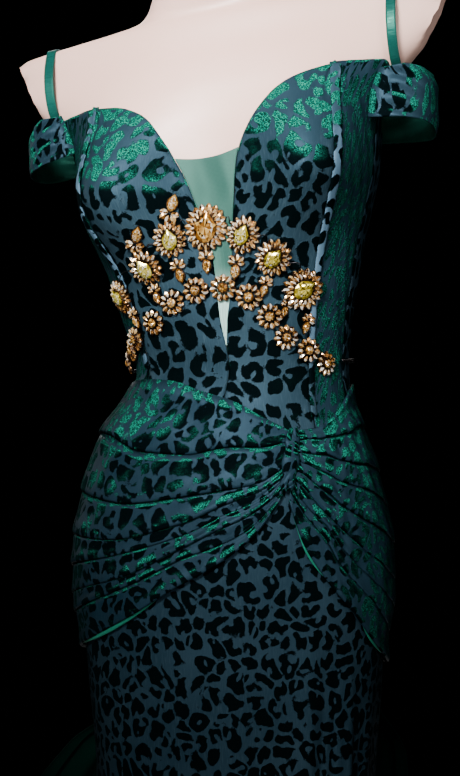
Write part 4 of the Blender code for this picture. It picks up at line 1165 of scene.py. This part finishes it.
def hipDrape(side, table, stations, laps, columns, name, node):
    rows = drapeRows(len(laps) + 1)

    def lay(u, v):
        along = fromMiddle(u, side)
        row = np.rint(v * (len(rows) - 1)).astype(int)
        band, share, lift, rise = (rows[row, k] for k in range(4))
        places = [0 * along] + [smoothTable(along, stations, lap[0]) for lap in laps] + [0 * along + 1]
        powers = [0 * along + 1] + [smoothTable(along, stations, lap[1]) for lap in laps]
        here = band.astype(int)
        low = np.choose(here, places[:-1])
        high = np.choose(here, places[1:])
        power = np.choose(here, powers)
        hidden = np.choose(here, np.cumsum([0 * along] + powers[1:], axis=0))
        return along, mix(low, high, share), lift, rise, power, hidden

    def place(u, v):
        along, share, lift, rise, power, _ = lay(u, v)
        edges = drapeEdges(table, along)
        share = share + power * lift / (edges[1] - edges[3])
        angle, z = onDrape(edges, share)
        grow = 0.5 * ramp(along, 0.0, 0.05) + 0.5 * ramp(along, 0.03, 0.22)
        grow = grow * (1 - 0.35 * ramp(along, 0.5, 1.0)) * (1 + 0.2 * np.sin(23 * along + 5 * share))
        out = drape["out"] + drape["rise"] * rise * grow * power
        # fine pleats run out of the gather, and the broad bands are softly crumpled
        turns = drape["pleatCount"] * share + 3.0 * along + np.sin(7 * share)
        pleats = np.abs(np.sin(np.pi * turns)) - 0.5
        pleats = pleats * np.exp(-along / drape["pleatReach"]) * ramp(along, 0.0, 0.02)
        small = ripple(along * 0.5 + 0.08 * share, share * 0.25, seed=41, pitch=24)
        out = out + drape["pleats"] * pleats + drape["crumple"] * small * ramp(along, 0.05, 0.2)
        return onFigure(angle, z, out)

    def chart(u, v):
        # the cloth's own metres run on through what each lap hides
        along, share, _, _, _, hidden = lay(u, v)
        angle, z = onDrape(drapeEdges(table, along), share)
        tucked = hidden * drape["tuckCloth"]
        return np.stack([angle * drape["mapRadius"] + drape["tuckAside"] * tucked, z + tucked], axis=-1)

    def paintedGlintEdge(u, v):
        # painted glint along the lip of each lap
        _, _, lift, rise, power, _ = lay(u, v)
        lip = np.where((rise > 0.8) & (lift <= 0), 1.0, 0.0) * np.where(rise < 0.99, 1.0, 0.1)
        return lip * power * ramp(power, 0.2, 0.6) * np.where(v < 0.09, 0.5, 1.0)

    piece = sewCloth(name, place, evenly(columns) ** (1.15 if side > 0 else 1.0), evenly(len(rows) - 1),
                     [drapeSatin, emeraldLining], start=(8.2 + side, 0.0), chart=chart, paintedGlintEdge=paintedGlintEdge)
    return dress(piece, "leopard_satin", node)


gatherLook = {
    "top": (math.radians(35.8), 1.012),
    "foot": (math.radians(29.6), 0.954),
    "halfWidth": 0.052,
    "out": 0.0068,
    "swell": 0.0024,
    "creases": 0.0013,
}


def hipGather():
    def place(u, v):
        waist = 0.6 + 0.4 * np.sin(np.pi * v) + 0.12 * np.sin(17 * v)
        sideways = (2 * u - 1) * gatherLook["halfWidth"] * waist
        angle = mix(gatherLook["foot"][0], gatherLook["top"][0], v) + sideways
        z = mix(gatherLook["foot"][1], gatherLook["top"][1], v)
        swell = np.sin(np.pi * u) ** 0.7 * np.sin(np.pi * np.clip(v, 0.02, 0.98)) ** 0.5
        # creases fan out to both sides from the middle of the gather
        turns = 7.5 * v + 1.6 * (2 * u - 1) * (v - 0.45) * 2 + 0.6 * np.sin(9 * v)
        fan = (np.abs(np.cos(np.pi * turns)) - 0.4) * (0.35 + 0.65 * np.abs(2 * u - 1))
        creases = gatherLook["creases"] * fan * np.sin(np.pi * u) ** 0.5
        return onFigure(angle, z, gatherLook["out"] + gatherLook["swell"] * swell + creases)

    piece = sewCloth("hipGather", place, evenly(26), evenly(90), [drapeSatin, emeraldLining], gather=1.8,
                     start=(11, 0.2))
    return dress(piece, "leopard_satin", "drape_knot")


# slivers of emerald facing that show under the drape's lower edge: where they run and how wide
facingLook = {"hidden": 0.003, "out": 0.0050, "swell": 0.0012, "thickness": 0.0006, "cut": (0.010, 0.8)}
facings = {
    "facingRight": {"side": -1, "from": 0.34, "to": 0.57, "width": 0.0050, "length": 0.110},
    "facingLeftUpper": {"side": 1, "from": 0.03, "to": 0.24, "width": 0.0062, "length": 0.038},
    "facingLeftLower": {"side": 1, "from": 0.44, "to": 0.58, "width": 0.0036, "length": 0.032},
}


def edgeFacing(name, look):
    side = look["side"]
    table = leftDrape if side > 0 else rightDrape

    def place(u, v):
        along = mix(look["from"], look["to"], fromMiddle(u, side))
        angle, lower = onDrape(drapeEdges(table, along), 0)
        width = look["width"] * np.sin(np.pi * np.clip(u, 0.01, 0.99)) ** 0.7
        below = mix(width, -facingLook["hidden"], v)
        return onFigure(angle, lower - below, facingLook["out"] + facingLook["swell"] * v)

    piece = sewCloth(name, place, evenly(60), evenly(5), [emeraldFacing], thickness=facingLook["thickness"])
    return dress(piece, "leopard_satin")


columns = drape["columns"]
piece = hipDrape(-1, rightDrape, rightStations, rightLaps, columns["right"], "hipDrapeRight", "drape_right")
piece = hipDrape(1, leftDrape, leftStations, leftLaps, columns["left"], "hipDrapeLeft", "drape_left")
hipGather()
for name, look in facings.items():
    piece = edgeFacing(name, look)
print("hip drape laid")

# the skirt and the train
skirt = {
    "hem": 0.006,
    "top": 0.9747,
    "foldGrows": 0.22,
    "ripple": 0.0008,
    "rippleBelow": 0.78,
    "rippleGrows": 0.2,  # the height over which it grows to the full
    "sideSeamGap": 0.001,  # in radians
}
# long folds that grow downwards: degrees from the front, width in degrees, rise and starting height
skirtFolds = (
    (38.0, 5.5, 0.009, 0.880),
    (55.0, 5.5, 0.010, 0.830),
    (72.0, 7.0, 0.007, 0.790),
    (-38.0, 9.0, 0.006, 0.760),
    (-70.0, 9.0, 0.007, 0.740),
    (4.0, 9.0, 0.005, 0.800),
    (46.5, 1.7, 0.0042, 0.850),
    (51.0, 1.5, 0.0038, 0.835),
    (57.5, 1.9, 0.0040, 0.815),
    (63.0, 1.6, 0.0030, 0.800),
    (-22.0, 2.4, 0.0022, 0.760),
    (-55.0, 2.4, 0.0026, 0.740),
    (20.0, 2.6, 0.0022, 0.760),
    (108.0, 9.0, 0.007, 0.720),
    (-108.0, 9.0, 0.007, 0.720),
)


def skirtOut(angle, z):
    out = np.full(np.shape(z), bodice["out"])
    for degrees, spread, rise, start in skirtFolds:
        turn = (angle - math.radians(degrees)) / math.radians(spread)
        out = out + rise * np.exp(-(turn**2)) * ramp(start - z, 0, skirt["foldGrows"])
    return out


def skirtPanel(name, node, first, last, start):
    def place(u, v):
        angle = mix(first, last, u)
        z = mix(skirt["hem"], skirt["top"], v)
        wrapped = np.where(angle > np.pi, angle - 2 * np.pi, angle)
        soft = ripple(angle * 0.15, z * 0.35, seed=53, pitch=14)
        soft = soft * ramp(skirt["rippleBelow"] - z, 0, skirt["rippleGrows"])
        out = skirtOut(wrapped, z) + skirt["ripple"] * (0.6 + soft) + seamDip(u, 0.45)
        return onFigure(angle, z, out)

    piece = sewCloth(name, place, evenly(150), evenly(210), [skirtSatin, emeraldLining], start=start)
    return dress(piece, "leopard_satin", node)


train = {
    "top": 0.766,
    "topAngle": math.radians(52),
    "topLift": 0.0022,  # over the skirt's back
    "foot": 0.0035,
    "halfWidth": (0.118, 0.42),
    "widens": 0.68,
    "length": 0.50,
    "lengthens": 1.8,
    "behind": (0.008, 0.02),  # clear of the skirt at the top, and how much more lower down
    "shift": -0.058,
    "waves": 8,
    "gores": 4,
    "goreGap": 0.00018,
    "rise": 0.026,
    "soft": 0.0016,
}


def trainGore(number):
    first, last = number / train["gores"], (number + 1) / train["gores"]

    def place(u, v):
        down = (1 - v) ** 1.25
        halfWidth = mix(*train["halfWidth"], down ** train["widens"])
        turn = mix(1, -1, mix(first, last, u) - train["goreGap"] / (2 * halfWidth) * (2 * u - 1))
        wave = train["rise"] * down**0.8 * np.cos(np.pi * train["waves"] * turn)
        z = train["foot"] + (train["top"] - train["foot"]) * (1 - down) ** 1.35
        length = train["length"] * down ** train["lengthens"]
        swing = turn * np.pi / 2
        lift = 0.35 * np.clip(wave, 0, None) * ramp(down, 0.3, 1.0) * (1 - down**6)
        small = train["soft"] * ripple(swing * 0.35, down * 0.8, seed=61, pitch=9)
        flute = wave + small * ramp(down, 0.15, 0.5) * (1 - down**8)
        behind = train["behind"][0] + train["behind"][1] * ramp(down, 0, 0.3)
        fan = np.stack([
            (halfWidth + flute) * np.sin(swing) + train["shift"] * ramp(down, 0, 0.2),
            level("back", z) + behind + (length + flute) * np.cos(swing),
            z + lift,
        ], axis=-1)
        top = onFigure(np.pi - turn * train["topAngle"], z, bodice["out"] + train["topLift"])
        return mix(top, fan, ramp(down, 0.0, 0.10)[..., None])

    name = f"trainGore{number + 1}"
    piece = sewCloth(name, place, evenly(56), evenly(110), [emeraldSatinShaded], start=(13 + number, 0))
    return dress(piece, "emerald_satin", f"train_{number + 1}")


half = math.pi / 2 - skirt["sideSeamGap"]
skirtHalves = (("skirtFront", "skirt_front", 0, 15.0), ("skirtBack", "skirt_back", math.pi, 17.0))
for name, node, middle, start in skirtHalves:
    piece = skirtPanel(name, node, middle - half, middle + half, (start, 0.0))
for number in range(train["gores"]):
    trainGore(number)
print("skirt and train hung")

# the belt of cut stones
belt = {
    "upperPetals": (17, 15, 15, 19, 16, 15, 17),
    "upperGrow": 1.02,  # size over its solid
    "middleRosette": 3,
    "lowerPetals": 11,
    "lowerGrow": 1.08,
    "lowerCount": 12,
    "arcMiddle": (-0.020, 1.085),  # the stones' tips point away from this place, x and height
    "upperStone": (1.16, 0.82),  # length and width of a large stone, in radii of its rosette
    "middleStone": (1.36, 1.00),
    "drops": 10,
    "sidewaysDrops": (8, 9),
    "dropLength": 2.8,  # in half lengths of its solid
}
# rings of petals: sizes and places in radii of the rosette, heights in metres, tilts in radians
outerRing = {"inner": 0.60, "long": 0.41, "wide": 0.225, "height": 0.0002, "tilt": -0.12, "oval": 0.05,
             "start": 0.0}
innerRing = {"inner": 0.47, "long": 0.33, "wide": 0.190, "height": 0.0019, "tilt": -0.34, "oval": 0.09,
             "start": 0.5}
openRing = {"inner": 0.46, "long": 0.54, "wide": 0.37, "height": 0.0003, "tilt": -0.18, "oval": 0.0,
            "start": 0.0}
petal = {"height": 0.0022, "seat": 0.0010, "seatLong": 1.10, "seatWide": 1.36, "lift": 0.0006,
         "claw": 0.0005, "clawLift": 0.0018}
pearStone = {"height": 0.0036, "table": 0.50, "rim": (0.62, 0.68, 0.0020), "seat": (1.10, 1.07, 0.0012),
             "seatLift": 0.0036, "lift": 0.0045}
squareStone = {"size": 0.66, "height": 0.0028, "table": 0.55, "rim": (0.42, 0.0016),
               "seat": (1.22, 0.0014), "seatLift": 0.0014, "lift": 0.0026, "turn": 0.4}
# a drop's sizes and places in its own lengths; each petal has a turn and a reach
drop = {"petals": ((0.0, 0.36), (0.75, 0.34), (-0.75, 0.34), (1.5, 0.26), (-1.5, 0.26)),
        "spread": (0.74, 0.62), "petalUp": 0.16, "petal": (0.30, 0.19), "petalSeat": (0.33, 0.24),
        "stone": (0.60, 0.36), "seat": (1.20, 1.12), "stoneDown": 0.20, "ballUp": 0.12}
# a drop's heights and its ball's radius in metres, its petals' tilt in radians
dropHeights = {"petal": 0.0020, "petalLift": 0.0008, "petalSeatLift": 0.0002, "seat": 0.0010, "stone": 0.0028,
               "stoneLift": 0.0013, "stoneSeatLift": 0.0004, "ball": 0.0011, "ballLift": 0.0016,
               "tilt": -0.1, "table": 0.50}
wire = {"radius": 0.00055, "bow": 0.011, "lift": 0.0032, "from": (0.80, 0.45), "points": 14}


def stoneShape(outline, height, tableShare):
    # a cut stone on its outline, with a painted light-and-shade tone for each face: flat back, then for each
    # corner the girdle, four crown facets and one facet of a low star on top
    count = len(outline)
    ring = np.asarray(outline, float)
    middle = ring.mean(axis=0)
    crown = middle + (ring - middle) * mix(1, tableShare, 0.5)
    table = middle + (ring - middle) * tableShare
    turned = (crown + np.roll(crown, -1, axis=0)) / 2
    points = []
    for corners, z in ((ring, 0.0), (ring, 0.35), (turned, 0.74), (table, 1.0)):
        points += [(x, y, z * height) for x, y in corners]
    points.append((*middle, 1.04 * height))
    starTones = (0.90, 0.46, 0.68)
    faces, tones = [tuple(range(count))[::-1]], [0.2]
    for i in range(count):
        k = (i + 1) % count
        faces.append((i, k, count + k, count + i))
        faces.append((count + i, count + k, 2 * count + i))
        faces.append((2 * count + i, count + k, 2 * count + k))
        faces.append((2 * count + i, 2 * count + k, 3 * count + k))
        faces.append((2 * count + i, 3 * count + k, 3 * count + i))
        faces.append((3 * count + i, 3 * count + k, 4 * count))
        tones += [0.06, 0.42, 0.62, 1.02, 0.36, starTones[i % 3]]
    return points, faces, tones


def ridgeStone(outline, height, length):
    # a pointed stone with a lengthwise ridge: one flank painted bright as a highlight, one painted deep as
    # shade
    count = len(outline)
    half = 0.24 * length
    points = [(x, y, 0.0) for x, y in outline] + [(x, y, 0.45 * height) for x, y in outline]
    points += [(0.0, max(-half, min(half, y)), height) for _, y in outline]
    faces, tones = [tuple(range(count))[::-1]], [0.2]
    for i in range(count):
        k = (i + 1) % count
        right = outline[i][0] + outline[k][0] > 0
        faces += [(i, k, count + k, count + i), (count + i, count + k, 2 * count + k, 2 * count + i)]
        tones += [0.04, 1.05 if right else 0.30]
    return points, faces, tones


def navette(length, width):
    # pointed at both ends, widest a little over its middle
    right = [(0.36, -0.24), (0.50, 0.06), (0.34, 0.32)]
    shape = [(0, -0.5), *right, (0, 0.5), *[(-x, y) for x, y in right[::-1]]]
    return [(x * width, y * length) for x, y in shape]


def fullTurn(count):
    return np.linspace(0, 2 * np.pi, count, endpoint=False)


def ovalRing(halfWidth, halfLength, count):
    return [(halfWidth * math.cos(a), halfLength * math.sin(a)) for a in fullTurn(count)]


def pear(length, width):
    turns = fullTurn(14) + np.pi / 14
    taper = 1 - 0.62 * ramp(np.sin(turns), 0.1, 1.0)
    return [(0.5 * width * math.cos(a) * t, 0.5 * length * math.sin(a)) for a, t in zip(turns, taper)]


def cushion(size):
    # a square with its corners cut off
    radius = 0.5 * size * 1.08
    return [(radius * math.cos(a), radius * math.sin(a)) for a in fullTurn(8) + np.pi / 8]


def addShape(points, faces, made, madeFaces):
    # one more shape in the same lists
    first = len(points)
    points += made
    faces += [tuple(first + i for i in face) for face in madeFaces]


class StoneTray:
    # gathers the stones and settings of one rosette or drop into one mesh
    def __init__(self, seed):
        self.points, self.faces, self.kinds, self.tones = [], [], [], []
        self.draw = random.Random(seed)

    def put(self, shape, kind, at=(0, 0, 0), turn=0.0, tilt=0.0):
        points, faces, *tones = shape
        spin = Matrix.Rotation(turn, 3, "Z") @ Matrix.Rotation(tilt, 3, "X")
        placed = [tuple(spin @ Vector(point) + Vector(at)) for point in points]
        addShape(self.points, self.faces, placed, faces)
        self.kinds += [kind] * len(faces)
        # each stone's painted light and shade is shifted at random as a whole, and again for each facet by
        # itself
        whole = self.draw.uniform(-0.25, 0.15)
        for tone in tones[0] if tones else [0.5] * len(faces):
            self.tones.append(min(1.1, max(0.0, tone + whole + self.draw.uniform(-0.35, 0.35))))

    def finish(self, name, materials):
        piece = showMesh(name, self.points, self.faces, materials)
        piece.data.polygons.foreach_set("material_index", self.kinds)
        tone = piece.data.attributes.new("facetLightAndShade", "FLOAT", "FACE")
        tone.data.foreach_set("value", self.tones)
        return piece


# each stone's material by its kind
stoneMaterials = [petalStone, amberStone, canaryStone, settingMetal]
petalKind, amberKind, canaryKind, metalKind = range(4)


def disc(outline, thickness, taper=0.94):
    # a flat plate, a little smaller at its top
    count = len(outline)
    points = [(x, y, 0) for x, y in outline] + [(x * taper, y * taper, thickness) for x, y in outline]
    faces = [tuple(range(count))[::-1], tuple(range(count, 2 * count)), *ringFaces(2, count)]
    return points, faces


def claw(radius):
    # a claw's tip: a low dome
    return disc(ovalRing(radius, radius, 6), 0.75 * radius, 0.6)


def grown(outline, wide, long):
    return [(x * wide, y * long) for x, y in outline]


def petalRing(tray, radius, count, ring, tip):
    # pointed stones that stand out from the middle, each on its own dark setting
    for i in range(count):
        turn = 2 * math.pi * (i + ring["start"]) / count
        oval = 1 + ring["oval"] * math.cos(2 * turn)
        length = ring["long"] * radius * tray.draw.uniform(0.92, 1.06)
        width = ring["wide"] * radius * tray.draw.uniform(0.92, 1.08)
        reach = (ring["inner"] * radius + 0.5 * length) * oval
        aside, ahead = -math.sin(turn + tip), math.cos(turn + tip)
        low = ring["height"]
        x, y = aside * reach, ahead * reach
        seat = disc(navette(length * petal["seatLong"], width * petal["seatWide"]), petal["seat"])
        tray.put(seat, metalKind, (x, y, low), turn + tip, ring["tilt"])
        stone = ridgeStone(navette(length, width), petal["height"], length)
        tray.put(stone, petalKind, (x, y, low + petal["lift"]), turn + tip, ring["tilt"])
        inside = reach - 0.56 * length
        tray.put(claw(petal["claw"]), metalKind, (aside * inside, ahead * inside, low + petal["clawLift"]))


def largeRosette(tray, radius, petals, tip, stone):
    # a pear stone in a dark rim over two rings of petals
    long, wide, kind = stone
    look = pearStone
    outline = pear(long * radius, wide * radius)
    halfWidth, halfLength, thickness = look["rim"]
    tray.put(disc(ovalRing(halfWidth * radius, halfLength * radius, 24), thickness), metalKind, turn=tip)
    petalRing(tray, radius, petals, outerRing, tip)
    petalRing(tray, radius, petals, innerRing, tip)
    wider, longer, thickness = look["seat"]
    tray.put(disc(grown(outline, wider, longer), thickness), metalKind, (0, 0, look["seatLift"]), tip)
    tray.put(stoneShape(outline, look["height"], look["table"]), kind, (0, 0, look["lift"]), tip)


def smallRosette(tray, radius):
    # a square stone in a dark rim inside one open ring of petals
    look = squareStone
    outline = cushion(look["size"] * radius)
    rim, thickness = look["rim"]
    tray.put(disc(ovalRing(rim * radius, rim * radius, 14), thickness), metalKind)
    petalRing(tray, radius, belt["lowerPetals"], openRing, 0.0)
    wider, thickness = look["seat"]
    seat = disc(grown(outline, wider, wider), thickness)
    tray.put(seat, metalKind, (0, 0, look["seatLift"]), look["turn"])
    stone = stoneShape(outline, look["height"], look["table"])
    tray.put(stone, amberKind, (0, 0, look["lift"]), look["turn"])


def stoneDrop(tray, length):
    # five small petals over a pear stone that points down
    def sized(pair):
        return [part * length for part in pair]

    look = dropHeights
    for turn, reach in drop["petals"]:
        aside, ahead = sized(drop["spread"])
        x, y = -math.sin(turn) * reach * aside, drop["petalUp"] * length + math.cos(turn) * reach * ahead
        seat = disc(navette(*sized(drop["petalSeat"])), look["seat"])
        tray.put(seat, metalKind, (x, y, look["petalSeatLift"]), turn, look["tilt"])
        long, wide = sized(drop["petal"])
        stone = ridgeStone(navette(long, wide), look["petal"], long)
        tray.put(stone, petalKind, (x, y, look["petalLift"]), turn, look["tilt"])
    outline = grown(pear(*sized(drop["stone"])), 1, -1)[::-1]
    y = -drop["stoneDown"] * length
    tray.put(disc(grown(outline, *drop["seat"]), look["seat"]), metalKind, (0, y, look["stoneSeatLift"]))
    tray.put(stoneShape(outline, look["stone"], look["table"]), amberKind, (0, y, look["stoneLift"]))
    tray.put(claw(look["ball"]), metalKind, (0, drop["ballUp"] * length, look["ballLift"]))


def readSeat(node):
    # where the flat solid of a stone lies: its middle, its three directions and its size
    points = solidPoints(node)
    middle = (points.max(axis=0) + points.min(axis=0)) / 2
    normal = np.linalg.svd(points - points.mean(axis=0))[2][2]
    normal *= np.sign(normal @ np.array((middle[0], middle[1], 0.0)))
    up = np.array((0, 0, 1.0)) - normal * normal[2]
    up /= np.linalg.norm(up)
    right = np.cross(up, normal)
    local = (points - middle) @ np.array((right, up, normal)).T
    centre = (local.max(axis=0) + local.min(axis=0)) / 2
    base = middle + right * centre[0] + up * centre[1] + normal * local[:, 2].min()
    radius = np.hypot(local[:, 0] - centre[0], local[:, 1] - centre[1]).max()
    long = np.linalg.svd((local - local.mean(axis=0))[:, :2])[2][0]
    matrix = Matrix((right, up, normal)).transposed().to_4x4()
    return Matrix.Translation(Vector(base)) @ matrix, radius, math.atan2(-long[0], long[1])


def layStone(tray, name, node, spin=0.0):
    seat = readSeat(node)[0]
    piece = tray.finish(name, stoneMaterials)
    piece.data.transform(seat @ Matrix.Rotation(spin, 4, "Z"))
    return dress(piece, "amber_stones", node)


def awayFromArc(place):
    return Vector((place.x - belt["arcMiddle"][0], 0, place.z - belt["arcMiddle"][1]))


def tipAngle(seat):
    # how far the tip leans so that it points away from the arc's middle
    local = seat.to_3x3().transposed() @ awayFromArc(seat.translation)
    return math.atan2(-local.x, local.y)


def layBelt():
    for i, petals in enumerate(belt["upperPetals"]):
        node = f"belt_rosette_upper_{i + 1}"
        seat, radius, _ = readSeat(node)
        tray = StoneTray(100 + i)
        if i == belt["middleRosette"]:
            stone = (*belt["middleStone"], amberKind)
        else:
            stone = (*belt["upperStone"], canaryKind)
        largeRosette(tray, radius * belt["upperGrow"], petals, tipAngle(seat), stone)
        layStone(tray, f"largeRosette{i + 1}", node)
    for i in range(belt["lowerCount"]):
        node = f"belt_rosette_lower_{i + 1}"
        tray = StoneTray(200 + i)
        smallRosette(tray, readSeat(node)[1] * belt["lowerGrow"])
        layStone(tray, f"smallRosette{i + 1}", node)
    for i in range(belt["drops"]):
        node = f"belt_drop_{i + 1}"
        _, radius, long = readSeat(node)
        tray = StoneTray(300 + i)
        stoneDrop(tray, radius * belt["dropLength"])
        # most drops point down, and the sideways ones point out from the arc
        right = math.sin(long) > 0 if i in belt["sidewaysDrops"] else math.cos(long) > 0
        layStone(tray, f"stoneDrop{i + 1}", node, long if right else long + math.pi)


def tube(path, radius):
    # a round wire along a path, open at its ends
    sides = 6
    path = np.asarray(path, float)
    ahead = np.gradient(path, axis=0)
    ahead /= np.linalg.norm(ahead, axis=1, keepdims=True)
    away = np.array((0.0, -1.0, 0.15))
    across = np.cross(ahead, away)
    across /= np.linalg.norm(across, axis=1, keepdims=True)
    over = np.cross(across, ahead)
    points = []
    for i in range(len(path)):
        for j in range(sides):
            roll = 2 * math.pi * j / sides
            points.append(tuple(path[i] + radius * (math.cos(roll) * across[i] + math.sin(roll) * over[i])))
    return points, ringFaces(len(path), sides)


def layWires():
    # thin bows of dark wire from each large rosette to the next
    aside, over = wire["from"]
    seats = [readSeat(f"belt_rosette_upper_{i + 1}") for i in range(len(belt["upperPetals"]))]
    points, faces = [], []
    for (first, firstRadius, _), (second, secondRadius, _) in zip(seats, seats[1:]):
        start, end = first.translation, second.translation
        along = (end - start).normalized()
        outward = awayFromArc((start + end) / 2)
        outward = (outward - along * outward.dot(along)).normalized()
        lifts = [wire["lift"] * seat.to_3x3().col[2] for seat in (first, second)]
        low = start + (along * aside + outward * over) * firstRadius + lifts[0]
        high = end + (outward * over - along * aside) * secondRadius + lifts[1]
        top = (low + high) / 2 + outward * wire["bow"] + (lifts[0] + lifts[1]) / 2
        shares = np.linspace(0, 1, wire["points"])
        path = [low * (1 - t) ** 2 + top * 2 * t * (1 - t) + high * t**2 for t in shares]
        addShape(points, faces, *tube(path, wire["radius"]))
    piece = showMesh("wireBows", points, faces, [chainMetal])
    piece.data.shade_smooth()
    return dress(piece, "black_chain")


waistChain = {
    "height": 1.074,
    "out": 0.0062,
    "ends": 0.01,  # inside its solid, in radians
    "links": 118,
    "long": 0.0058,
    "wide": 0.0034,
    "wire": 0.00055,
    "roll": math.radians(38),  # each link leans the other way
}


def linkShape(look):
    # a stretched ring of round wire
    steps, sides = 12, 6
    points, faces = [], []
    straight = (look["long"] - look["wide"]) / 2
    for i in range(steps):
        turn = 2 * math.pi * i / steps
        cosine, sine = math.cos(turn), math.sin(turn)
        middle = straight if cosine > 0 else -straight
        for j in range(sides):
            roll = 2 * math.pi * j / sides
            radius = look["wide"] / 2 + look["wire"] * math.cos(roll)
            points.append((middle + radius * cosine, radius * sine, look["wire"] * math.sin(roll)))
    for i in range(steps):
        here, after = i * sides, (i + 1) % steps * sides
        for j in range(sides):
            k = (j + 1) % sides
            faces.append((here + j, after + j, after + k, here + k))
    return points, faces


def layChain():
    solid = solidPoints("belt_chain")
    turns = np.remainder(np.arctan2(solid[:, 0], -solid[:, 1]), 2 * np.pi)
    ends = waistChain["ends"]
    angles = np.linspace(turns.min() + ends, turns.max() - ends, waistChain["links"])
    path = onFigure(angles, np.full(len(angles), waistChain["height"]), waistChain["out"])
    links, faces = [], []
    shape, shapeFaces = linkShape(waistChain)
    for i in range(len(path) - 1):
        ahead = Vector(path[i + 1] - path[i]).normalized()
        away = Vector((path[i][0], path[i][1], 0)).normalized()
        upward = away.cross(ahead).normalized()
        away = ahead.cross(upward)
        flat = Matrix((ahead, upward, away)).transposed()
        roll = Matrix.Rotation(waistChain["roll"] if i % 2 else -waistChain["roll"], 3, ahead)
        middle = Vector((path[i] + path[i + 1]) / 2)
        placed = [tuple(roll @ (flat @ Vector(point)) + middle) for point in shape]
        addShape(links, faces, placed, shapeFaces)
    piece = showMesh("waistChain", links, faces, [chainMetal])
    piece.data.shade_smooth()
    return dress(piece, "black_chain", "belt_chain")


layBelt()
layWires()
layChain()
print("belt laid")

# the studio: a pale floor, soft lights and the photograph's camera
studio = {
    "floorRadius": 2.2,
    "floorCorners": 96,
    "floorColour": (0.62, 0.61, 0.60, 1),
    "backdrop": (0.0003, 0.0003, 0.0003, 1),
    "cameraTurn": math.radians(14),
    "cameraHeight": 1.052,
    "cameraAway": 1.8,
    "sideways": -0.004,
    "frameHeight": 0.776,  # what the picture shows at the figure's axis
    "sensor": 36,
}
# where each lamp hangs, what it is aimed at, its width in metres, its power and its spread in degrees
lights = {
    "keyLight": ((-0.15, -1.62, 2.05), (0.02, 0.0, 1.29), 0.6, 6.3, 39),
    "frontLight": ((0.25, -2.40, 1.30), (0.0, 0.0, 1.10), 0.9, 0.42, 90),
    "rightLight": ((1.50, -0.75, 1.95), (0.05, 0.0, 1.25), 0.7, 1.4, 70),
    "backLight": ((-0.7, 1.9, 2.1), (0.0, 0.1, 1.0), 1.4, 12, 140),
    "leftLight": ((-2.0, 0.7, 1.6), (0.0, 0.0, 1.0), 1.2, 1.6, 140),
}
glints = {
    "count": 16,
    "away": 1.5,
    "swings": (math.radians(52), math.radians(34)),
    "middle": (0.0, -0.12, 1.14),
    "lowest": 0.15,
    "size": 0.035,
    "power": 0.11,
    "spread": 60,
}


def layFloor():
    count = studio["floorCorners"]
    radius = studio["floorRadius"]
    points = [(0, 0, 0)] + [(x, y, 0) for x, y in ovalRing(radius, radius, count)]
    faces = [(0, i + 1, (i + 1) % count + 1) for i in range(count)]
    material, tree, shader = startMaterial("studioFloor", roughness=0.75)
    cloudy = noise(tree, objectPlace(tree), 3, 4.0).outputs["Fac"]
    darker = tuple(0.93 * part for part in studio["floorColour"][:3]) + (1,)
    plug(tree, mixColour(tree, cloudy, darker, studio["floorColour"]), shader.inputs["Base Color"])
    showMesh("studioFloor", points, faces, [material])


def cameraWays():
    # level directions to the camera's right and from the figure to the camera
    turn = studio["cameraTurn"]
    return Vector((math.cos(turn), math.sin(turn), 0)), Vector((math.sin(turn), -math.cos(turn), 0))


def hangLight(name, at, aim, size, power, spread):
    light = bpy.data.lights.new(name, "AREA")
    light.shape = "DISK"
    light.size = size
    light.energy = power
    light.spread = math.radians(spread)
    lamp = bpy.data.objects.new(name, light)
    lamp.location = at
    lamp.rotation_euler = (Vector(at) - Vector(aim)).to_track_quat("Z", "Y").to_euler()
    bpy.context.scene.collection.objects.link(lamp)


def hangGlints():
    # small lamps around the front, for the cut stones to catch
    right, ahead = cameraWays()
    middle = Vector(glints["middle"])
    for i in range(glints["count"]):
        turn = 2 * math.pi * i / glints["count"]
        swing = glints["swings"][i % 2]
        aside = right * math.cos(turn) + Vector((0, 0, 1)) * math.sin(turn)
        at = middle + glints["away"] * (ahead * math.cos(swing) + aside * math.sin(swing))
        at.z = max(at.z, glints["lowest"])
        hangLight(f"glintLight{i + 1}", at, middle, glints["size"], glints["power"], glints["spread"])


def paintBackdrop():
    world = bpy.context.scene.world or bpy.data.worlds.new("studio")
    bpy.context.scene.world = world
    world.use_nodes = True
    world.node_tree.nodes["Background"].inputs["Color"].default_value = studio["backdrop"]
    world.node_tree.nodes["Background"].inputs["Strength"].default_value = 1.0


def setCamera():
    right, ahead = cameraWays()
    camera = bpy.data.objects.new("photoCamera", bpy.data.cameras.new("photoCamera"))
    camera.location = right * studio["sideways"] + ahead * studio["cameraAway"]
    camera.location.z = studio["cameraHeight"]
    camera.rotation_euler = (math.pi / 2, 0, studio["cameraTurn"])
    camera.data.lens = studio["sensor"] * studio["cameraAway"] / studio["frameHeight"]
    bpy.context.scene.collection.objects.link(camera)
    bpy.context.scene.camera = camera


layFloor()
for name, look in lights.items():
    hangLight(name, *look)
hangGlints()
paintBackdrop()
setCamera()
print("studio set")
